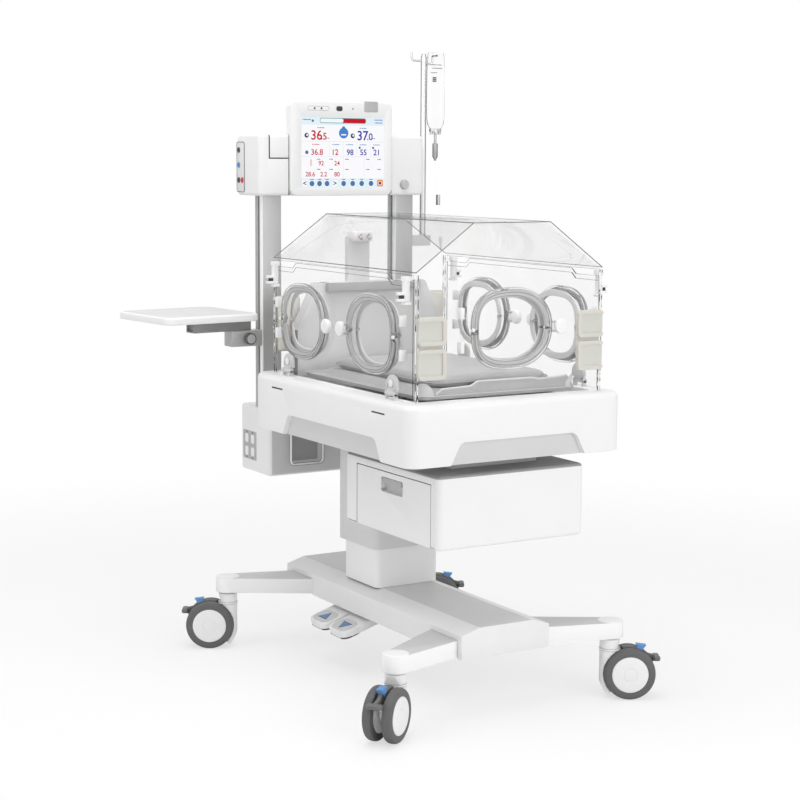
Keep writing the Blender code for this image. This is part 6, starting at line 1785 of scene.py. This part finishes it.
def spot(colour, u, v, radius, layer=2):
    LAYERS[colour].append(rod(on_screen(u, v), radius, FACE, FACE + layer * LAYER, "x", 24))


def label(colour, u, v, count, layer=3):
    """A row of small blocks that reads as a short line of print."""
    step = (u[1] - u[0]) / count
    for index in range(count):
        start = u[0] + index * step
        patch(colour, (start, start + step * (0.82 if index % 3 else 0.62)), (v - 0.006, v + 0.006), layer)


def words(colour, string, u, v, size, layer=2):
    data = bpy.data.curves.new("words", "FONT")
    data.body = string
    data.size = size
    data.offset = size * STROKE_GAIN
    data.align_x = "CENTER"
    data.align_y = "CENTER"
    obj = put("words", data)
    mesh = settled(obj)
    shape = bmesh.new()
    shape.from_mesh(mesh)
    y, z = on_screen(u, v)
    moved(shape, at(FACE + layer * LAYER, y, z) @ TO_FACE)
    LAYERS[colour].append(shape)
    bpy.data.objects.remove(obj)
    bpy.data.meshes.remove(mesh)
    bpy.data.curves.remove(data)


patch("white", (0.0, 1.0), (0.0, 1.0))
patch("pale", (0.0, 1.0), (0.885, 1.0), 2)
patch("pale", (0.0, 1.0), (0.0, 0.135), 2)
patch("steel", (0.220, 0.775), (0.912, 0.985), 3, 0.0050)
patch("mint", (0.2245, 0.50), (0.920, 0.977), 4, 0.0044)
patch("red", (0.50, 0.7705), (0.920, 0.977), 4, 0.0044)
label("blue", (0.015, 0.115), 0.958, 6)
spot("steel", 0.135, 0.942, 0.0034, 3)
label("blue", (0.875, 0.985), 0.966, 7)
label("blue", (0.885, 0.975), 0.925, 6)
for colour, whole, tenth, u in (("red", "36", ".5", 0.180), ("blue", "37", ".0", 0.735)):
    words(colour, whole, u, 0.735, 0.034)
    words(colour, tenth, u + 0.088, 0.722, 0.025)
    label(colour, (u + 0.120, u + 0.155), 0.700, 2)
for u in (0.063, 0.615):
    spot("dark", u, 0.738, 0.0062)
    spot("pale", u + 0.006, 0.742, 0.0030, 3)
spot("sky", 0.505, 0.775, 0.0140)
spot("sky", 0.505, 0.845, 0.0050)
patch("white", (0.475, 0.535), (0.742, 0.760), 4)
for u, tint in ((0.235, "rose"), (0.745, "sky")):
    label(tint, (u - 0.045, u + 0.045), 0.846, 4)
for v in (0.655, 0.440):
    patch("line", (0.0, 1.0), (v - 0.002, v + 0.002), 2)
for u in (0.335, 0.500, 0.665, 0.830):
    patch("line", (u - 0.0012, u + 0.0012), (0.440, 0.655), 2)
for u in (0.500, 0.755):
    patch("line", (u - 0.0012, u + 0.0012), (0.135, 0.440), 2)
words("rose", "36.8", 0.185, 0.500, 0.021)
spot("steel", 0.065, 0.500, 0.0048)
words("red", "12", 0.400, 0.500, 0.021)
for value, u in (("98", 0.583), ("55", 0.745), ("21", 0.910)):
    words("blue", value, u, 0.500, 0.021)
for u, tint in ((0.175, "rose"), (0.415, "sky"), (0.583, "sky"), (0.745, "sky"), (0.910, "sky")):
    label(tint, (u - 0.045, u + 0.045), 0.612, 4)
spot("blue", 0.700, 0.570, 0.0030)
spot("blue", 0.865, 0.570, 0.0030)
for u, v, value in ((0.235, 0.345, "92"), (0.425, 0.345, "24"), (0.105, 0.190, "28.6"), (0.265, 0.190, "2.2"),
                    (0.425, 0.190, "80")):
    words("rose", value, u, v, 0.0165)
for u in (0.205, 0.355, 0.545, 0.800, 0.940):
    for v in (0.405, 0.262):
        label("blue", (u - 0.022, u + 0.022), v, 3)
patch("rose", (0.110, 0.118), (0.310, 0.400), 2)
for u in (0.125, 0.215, 0.305, 0.505, 0.615, 0.725, 0.840):
    spot("white", u, 0.062, 0.0094, 3)
    spot("sky", u, 0.062, 0.0072, 4)
    spot("steel", u, 0.062, 0.0046, 5)
    label("blue", (u - 0.022, u + 0.022), 0.119, 3)
for u, sign in ((0.040, "<"), (0.400, ">")):
    patch("white", (u - 0.030, u + 0.030), (0.018, 0.110), 3, 0.002)
    words("dark", sign, u, 0.062, 0.019, 4)
patch("orange", (0.915, 0.985), (0.018, 0.115), 3, 0.003)
spot("mint", 0.950, 0.066, 0.0060, 4)
spot("red", 0.950, 0.066, 0.0044, 5)
for colour, shapes in LAYERS.items():
    piece(f"screen_{colour}", together(*shapes), glow[colour], "lift", sharp=80)
print("screen shapes", {colour: len(shapes) for colour, shapes in LAYERS.items()})

# %% [markdown]
# Both knobs are gripped at their rims, which have fine ridges. Geometry Nodes set one small ridge at equal
# steps round a circle, with the number, the ring's radius and the ridge's size as named inputs.


# %% A node tree for ridges round a knob
def ridge_tree():
    tree, given, made = geometry_tree("ridges_round_a_knob", Count="Int", Ring_Radius="Float",
                                      Ridge_Radius="Float", Length="Float")
    circle = add(tree, "GeometryNodeMeshCircle")
    ridge = add(tree, "GeometryNodeMeshCylinder", {"Vertices": 8})
    copies = add(tree, "GeometryNodeInstanceOnPoints")
    join_up(tree, (given["Count"], circle.inputs["Vertices"]),
            (given["Ring Radius"], circle.inputs["Radius"]),
            (given["Ridge Radius"], ridge.inputs["Radius"]), (given["Length"], ridge.inputs["Depth"]),
            (circle.outputs["Mesh"], copies.inputs["Points"]),
            (ridge.outputs["Mesh"], copies.inputs["Instance"]), (copies.outputs["Instances"], made))
    return tree


RIDGES = ridge_tree()


def ridged_ring(name, matrix, count, ring_radius, ridge_radius, length, finish, body):
    ring = baked(put(name, bpy.data.meshes.new(name)), name, RIDGES, Count=count, Finish=finish,
                 Ring_Radius=ring_radius, Ridge_Radius=ridge_radius, Length=length)
    ring.data.transform(Matrix.Translation(SHIFT) @ matrix)
    smoothed(ring, 50)
    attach(ring, body)
    return ring


# %% [markdown]
# The control knob sits on the beam's face and the clamp knob on the shelf's clamp. Each is one turned cap
# that faces the foot end, with its ring of ridges set round it.

# %% Control knob and clamp knob
TO_X = spin(90, "Y")
CONTROL_RIDGES = 40
CLAMP_RIDGES = 28
knob_place = at(CONTROL_X[1], 0.184, 1.2225) @ TO_X
knob = turned(((0.0040, -0.0120), (0.0040, 0.0006), (0.0116, 0.0007), (0.0120, 0.0012), (0.0119, 0.0072),
               (0.0108, 0.0086), (0.0080, 0.0089), (0.0010, 0.0090)), 64)
piece("control_knob_cap", moved(knob, knob_place), knob_moulding, "control_knob", ("control_knob",))
ridged_ring("control_knob_grip", knob_place @ at(0, 0, 0.0040), CONTROL_RIDGES, 0.0119, 0.0005, 0.0058,
            knob_moulding, "control_knob")
clamp_place = at(-0.465, -0.267, 0.8272) @ TO_X
wheel = turned(((0.0050, -0.0180), (0.0050, 0.0020), (0.0136, 0.0021), (0.0140, 0.0028), (0.0140, 0.0140),
                (0.0128, 0.0156), (0.0100, 0.0159), (0.0010, 0.0159)), 64)
piece("clamp_knob_wheel", moved(wheel, clamp_place), knob_moulding, "clamp_knob", ("clamp_knob",))
ring = raised(arc((0, 0), 0.0131, 0, 360, 48), 0.0152)
piece("clamp_knob_ring", moved(tube(ring, 0.0013, 10), clamp_place), dark_moulding, "clamp_knob")
ridged_ring("clamp_knob_grip", clamp_place @ at(0, 0, 0.0082), CLAMP_RIDGES, 0.0140, 0.0009, 0.0108,
            dark_moulding, "clamp_knob")
print("knob ridges", CONTROL_RIDGES + CLAMP_RIDGES)

# %% [markdown]
# The shelf is a thin white plate with round corners and a pale grey inlay, on a grey arm that turns on the
# clamp. It is drawn square about its pivot and then turned by the angle it has in the photograph.

# %% Shelf
SHELF_PIVOT = Vector((-0.486, -0.275, 0.0))
SHELF_TURN = Matrix.Translation(SHELF_PIVOT) @ spin(6.2, "Z")
SHELF_X = (-0.1435, 0.1165)
SHELF_Y = (-0.2885, -0.0165)
SHELF_Z = (0.881, 0.900)

plate = soft_case(SHELF_X, SHELF_Y, SHELF_Z, 0.024, 0.005)
piece("shelf_plate", moved(plate, SHELF_TURN), white_moulding, "shelf", ("shelf",), sharp=40)
inlay = prism(inset_by(SHELF_X, SHELF_Y, 0.007, 0.018), SHELF_Z[1] - 0.001, SHELF_Z[1] + 0.0004)
piece("shelf_inlay", moved(inlay, SHELF_TURN), light_grey_moulding, "shelf", bevel=0.0002)
arm = box((-0.020, 0.020), (-0.156, 0.014), (0.848, 0.8735))
arm = cut(arm, box((-0.016, 0.016), (-0.160, -0.149), (0.852, 0.8700)))
piece("shelf_arm", moved(together(arm, box((-0.012, 0.012), (-0.140, 0.006), (0.8730, 0.882))), SHELF_TURN),
      arm_metal, "shelf", bevel=0.0010, segments=3)
softened("shelf_clamp", anodised, "lift", 0.0012, 3)
side_plate = box((-0.5122, -0.5085), (-0.3150, -0.2300), (0.8075, 0.8468))
piece("clamp_side_plate", side_plate, bright_coat, "lift", bevel=0.0006)
print("shelf dressed")

# %% [markdown]
# The infusion pole is a polished tube in a small clamp, with two hooks of bent wire at its top.

# %% Infusion pole
POLE = (-0.486, 0.271)
POLE_RADIUS = 0.0078
BAG = (-0.466, 0.297)
EYE_Z = 1.566
pole = turned(((POLE_RADIUS - 0.0006, 1.0604), (POLE_RADIUS, 1.0610), (POLE_RADIUS, 1.5620),
               (POLE_RADIUS - 0.0010, 1.5650), (0.0060, 1.5655), (0.0060, 1.5695), (0.0050, 1.5708),
               (0.0010, 1.5710)), 48)
pole = moved(pole, at(*POLE, 0))
arm_z = EYE_Z - 0.014
inner = bent(((*POLE, arm_z), (POLE[0], POLE[1] - 0.038, arm_z), (POLE[0], POLE[1] - 0.038, 1.5745)), 0.010)
outer = bent(((*POLE, arm_z - 0.010), (POLE[0], BAG[1], arm_z - 0.010), (POLE[0], BAG[1], EYE_Z),
              (BAG[0] + 0.012, BAG[1], EYE_Z)), 0.006)
piece("pole_tube", together(pole, tube(inner, 0.0025), tube(outer, 0.0025)), bright_tube, "pole",
      ("iv_pole",))
softened("pole_clamp", light_grey_moulding, "lift", 0.0015, 3)
print("pole dressed")

# %% [markdown]
# The infusion bag is two sheets of clear film welded round the edge and swollen by the fluid. It starts as
# a flat pouch, and the cloth simulation fills it while its welded top stays flat. Grey bars for its welds,
# a few plain marks, the drip chamber and the roller clamp complete it. Its fluid has no level of its own.

# %% Infusion bag
BAG_Z = (1.372, 1.550)


def pouch():
    rings = []
    for half_y, half_x, height in ((0.012, 0.0035, BAG_Z[0] - 0.004), (0.022, 0.0050, BAG_Z[0] + 0.006),
                                   (0.0275, 0.0070, BAG_Z[0] + 0.030), (0.0280, 0.0070, BAG_Z[1] - 0.080),
                                   (0.0280, 0.0050, BAG_Z[1] - 0.026), (0.0270, 0.0022, BAG_Z[1]),
                                   (0.0255, 0.0020, 1.5745)):
        outline = rounded((BAG[0] - half_x, BAG[0] + half_x), (BAG[1] - half_y, BAG[1] + half_y),
                          half_x * 0.9, 3)
        rings.append(raised(outline, height))
    return cut(loft(rings), rod((BAG[1], EYE_Z - 0.0009), 0.0045, BAG[0] - 0.05, BAG[0] + 0.05, "x", 24))


bag = inflate(pouch(), "infusion_pouch", clear_film, 10, 2.0, 0.0035, 0.0022,
              lambda spot: spot.z > BAG_Z[1] - 0.004 or spot.z < BAG_Z[0] + 0.004)
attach(bag, "bag")
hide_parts("infusion_bag")
welds = []
for side in (-1, 1):
    weld = [(BAG[0], BAG[1] + side * half, height) for half, height in
            ((0.0240, 1.5735), (0.0262, 1.5600), (0.0272, 1.5240), (0.0282, 1.4700), (0.0282, 1.4060),
             (0.0258, 1.3850), (0.0200, 1.3740), (0.0110, 1.3690))]
    welds.append(tube(bent(weld, 0.006, 4), 0.0009, 8))
piece("bag_welds", together(*welds), arm_metal, "bag")
LABEL_X = BAG[0] + 0.0102
marks = []
for row in range(3):
    for column in range(3):
        y, z = BAG[1] - 0.0160 + column * 0.0042, 1.5050 - row * 0.0046
        marks.append(box((LABEL_X, LABEL_X + 0.0004), (y, y + 0.0034), (z, z + 0.0038)))
piece("bag_code", together(*marks), gap_black, "bag")
rows = []
for z, start, end in ((1.5400, -0.020, -0.004), (1.5400, -0.002, 0.012), (1.5310, -0.018, 0.014),
                      (1.5190, -0.022, -0.002)):
    rows.append(box((LABEL_X, LABEL_X + 0.0004), (BAG[1] + start, BAG[1] + end), (z, z + 0.0022)))
piece("bag_label_rows", together(*rows), arm_metal, "bag")
collar = [box((BAG[0] - 0.0045, BAG[0] + 0.0045), (BAG[1] - 0.0170, BAG[1] + 0.0170), (1.3630, 1.3715))]
for side in (-1, 1):
    collar.append(rod((BAG[0], BAG[1] + side * 0.0125), 0.0042, 1.3560, 1.3640))
piece("bag_collar", together(*collar), connector_tint, "bag", bevel=0.0006)
drip = turned(((0.0062, BAG_Z[0] - 0.012), (0.0062, BAG_Z[0] - 0.004), (0.0040, BAG_Z[0] - 0.002)), 32)
piece("bag_port", moved(drip, at(*BAG, 0)), white_moulding, "bag")
spike = turned(((0.0030, 1.3310), (0.0035, 1.3330), (0.0035, BAG_Z[0] - 0.0125),
                (0.0030, BAG_Z[0] - 0.0120)), 24)
piece("bag_spike", moved(spike, at(*BAG, 0)), connector_tint, "bag")
chamber = turned(((0.0030, 1.2855), (0.0034, 1.2900), (0.0062, 1.2940), (0.0074, 1.2970), (0.0075, 1.3280),
                  (0.0068, 1.3320), (0.0030, 1.3330)), 40)
piece("drip_chamber", moved(chamber, at(*BAG, 0)), chamber_tint, "bag")
roller_place = at(BAG[0], 0.3080, 1.1800)
roller = together(box((-0.0050, 0.0050), (-0.0040, 0.0040), (-0.0140, 0.0140)),
                  rod((0, 0.003), 0.0045, -0.0030, 0.0030, "x", 24))
piece("roller_clamp", moved(roller, roller_place), connector_tint, "bag", bevel=0.0008)
print("infusion bag points", len(bag.data.vertices))
